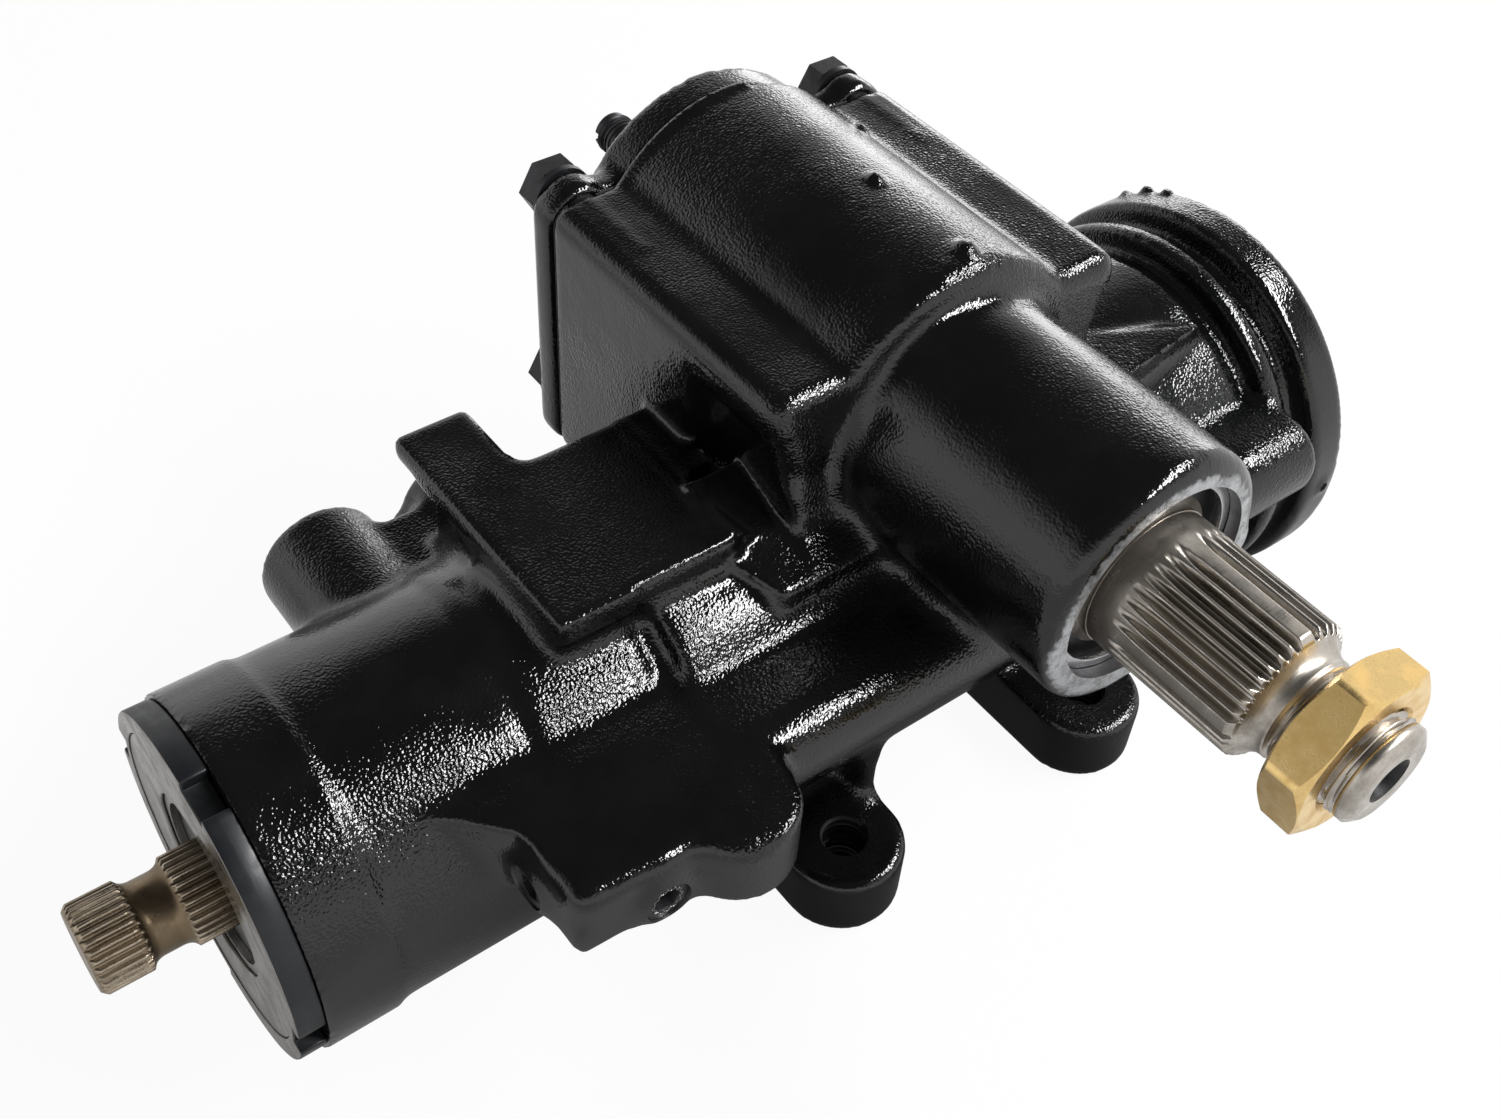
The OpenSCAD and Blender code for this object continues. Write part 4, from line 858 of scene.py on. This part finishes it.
def lifted(piece, height):
    up = addNode(boltTree, "ShaderNodeCombineXYZ")
    wire(boltTree, height, up.inputs[2])
    return feed(boltTree, boltTree.nodes.new("GeometryNodeTransform"), Geometry=piece.outputs[0], Translation=up.outputs[0]).outputs[0]


def times(label, factor):
    return mathNode(boltTree, "MULTIPLY", given.outputs[label], factor)


corners = times("Flats", 0.57735)  # half the width across the corners
collar = feed(boltTree, boltTree.nodes.new("GeometryNodeMeshCylinder"), Vertices=64, Radius=times("Flats", 0.56),
              Depth=given.outputs["Collar"])
hexagon = feed(boltTree, boltTree.nodes.new("GeometryNodeMeshCylinder"), Vertices=6, Radius=corners, Depth=given.outputs["Head"])
crown = feed(boltTree, boltTree.nodes.new("GeometryNodeMeshCone"), Vertices=6, Radius_Top=times("Flats", 0.49), Radius_Bottom=corners,
             Depth=given.outputs["Chamfer"])
shank = feed(boltTree, boltTree.nodes.new("GeometryNodeMeshCylinder"), Vertices=32, Radius=given.outputs["Shank"],
             Depth=given.outputs["Length"])
headTop = mathNode(boltTree, "ADD", given.outputs["Collar"], given.outputs["Head"])
bolt = boltTree.nodes.new("GeometryNodeJoinGeometry")
for piece in (lifted(collar, times("Collar", 0.5)), lifted(hexagon, mathNode(boltTree, "ADD", given.outputs["Collar"], times("Head", 0.5))),
              lifted(crown, headTop), lifted(shank, times("Length", -0.5))):
    wire(boltTree, piece, bolt.inputs[0])
placeAll(boltTree, given, bolt.outputs[0])
boltPieces = grown("coverBolts", boltTree, [(x, 0.0702, z) for x, z in boltPlaces], boltBlack, {"Turn": alongY}, "case", "black_steel", 30)
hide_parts("cover_bolts")
print("threads and bolts made")

# pale floor with a painted shadow and painted light in its reflection, dark ceiling, white walls low down, a long
# softbox and a card at the right
studio = {"floorTone": 0.92, "floorHalf": 4.0, "floorWhite": 0.94, "near": 0.05, "far": 0.16, "paintedShadeNear": 0.1, "paintedGlowFar": 0.95,
          "lengthShare": 0.62, "sideways": 0.1, "paintedGlowLeft": 0.7, "paintedGlowRight": 1.05,
          "wall": 1.0, "ceiling": 0.07, "wallTop": 0.30, "ceilingFrom": 0.68, "floorDrop": 0.0005, "aim": (-0.02, 0, 0.07),
          "lamps": {"softbox": ((0.527, -0.412, 0.743), 1.5, (1.25, 0.24), 26.0), "sideCard": ((0.84, 0.52, 0.10), 1.4, (0.8, 0.5), 4.0)}}
half = studio["floorHalf"]
floorMesh = bpy.data.meshes.new("floor")
floorCorners = [(x * half, y * half, -studio["floorDrop"]) for x, y in ((-1, -1), (1, -1), (1, 1), (-1, 1))]
floorMesh.from_pydata(floorCorners, [], [(0, 1, 2, 3)])
floorMaterial = bpy.data.materials.new("paleFloor")
floorMaterial.use_nodes = True
tree = floorMaterial.node_tree
shader = tree.nodes["Principled BSDF"]
shader.inputs["Base Color"].default_value = (*[studio["floorTone"]] * 3, 1)
shader.inputs["Roughness"].default_value = 0.9
glow = addNode(tree, "ShaderNodeEmission")
mix = addNode(tree, "ShaderNodeMixShader")
rays = addNode(tree, "ShaderNodeLightPath")
spread = addNode(tree, "ShaderNodeSeparateXYZ")  # glossy rays see the floor glow, with a painted shadow close to the piece and painted light brightening to the right
wire(tree, addNode(tree, "ShaderNodeTexCoord").outputs["Object"], spread.inputs[0])
seen, mirror = rays.outputs["Is Camera Ray"], rays.outputs["Is Glossy Ray"]
far = distance(tree, mathNode(tree, "MULTIPLY", spread.outputs[0], studio["lengthShare"]), spread.outputs[1])
paintedShadeNearPiece = rangeNode(tree, far, studio["near"], studio["far"], studio["paintedShadeNear"], studio["paintedGlowFar"], True)
paintedLightToRight = rangeNode(tree, spread.outputs[0], -studio["sideways"], studio["sideways"], studio["paintedGlowLeft"], studio["paintedGlowRight"])
# only glossy rays get this painted shadow and painted light; camera rays see an evenly white floor
paintedFloorReflection = mathNode(tree, "MULTIPLY", mirror, mathNode(tree, "MULTIPLY", paintedShadeNearPiece, paintedLightToRight))
wire(tree, mathNode(tree, "ADD", seen, paintedFloorReflection), glow.inputs["Strength"])
wire(tree, mathNode(tree, "MAXIMUM", mathNode(tree, "MULTIPLY", seen, studio["floorWhite"]), mirror), mix.inputs["Fac"])
wire(tree, shader.outputs[0], mix.inputs[1])
wire(tree, glow.outputs[0], mix.inputs[2])
wire(tree, mix.outputs[0], tree.nodes["Material Output"].inputs["Surface"])
floor = newObject("floor", floorMesh, floorMaterial)

world = bpy.data.worlds.new("studio")
scene.world = world
world.use_nodes = True
tree = world.node_tree
sky = tree.nodes["Background"]
direction = addNode(tree, "ShaderNodeSeparateXYZ")
wire(tree, addNode(tree, "ShaderNodeTexCoord").outputs["Generated"], direction.inputs[0])
level = rangeNode(tree, direction.outputs["Z"], studio["wallTop"], studio["ceilingFrom"], studio["wall"], studio["ceiling"], True)
rays = addNode(tree, "ShaderNodeLightPath")
wire(tree, mathNode(tree, "MAXIMUM", level, rays.outputs["Is Camera Ray"]), sky.inputs["Strength"])
sky.inputs["Color"].default_value = (1, 1, 1, 1)

for name, (toward, away, size, power) in studio["lamps"].items():
    toward = Vector(toward).normalized()
    lampData = bpy.data.lights.new(name, "AREA")
    lampData.shape = "RECTANGLE"
    lampData.size, lampData.size_y = size
    lampData.energy = power
    lamp = bpy.data.objects.new(name, lampData)
    lamp.matrix_world = Matrix.Translation(toward * away + Vector(studio["aim"])) @ toward.to_track_quat("Z", "Y").to_matrix().to_4x4()
    scene.collection.objects.link(lamp)
scene.view_settings.view_transform = "Standard"
print("studio set")
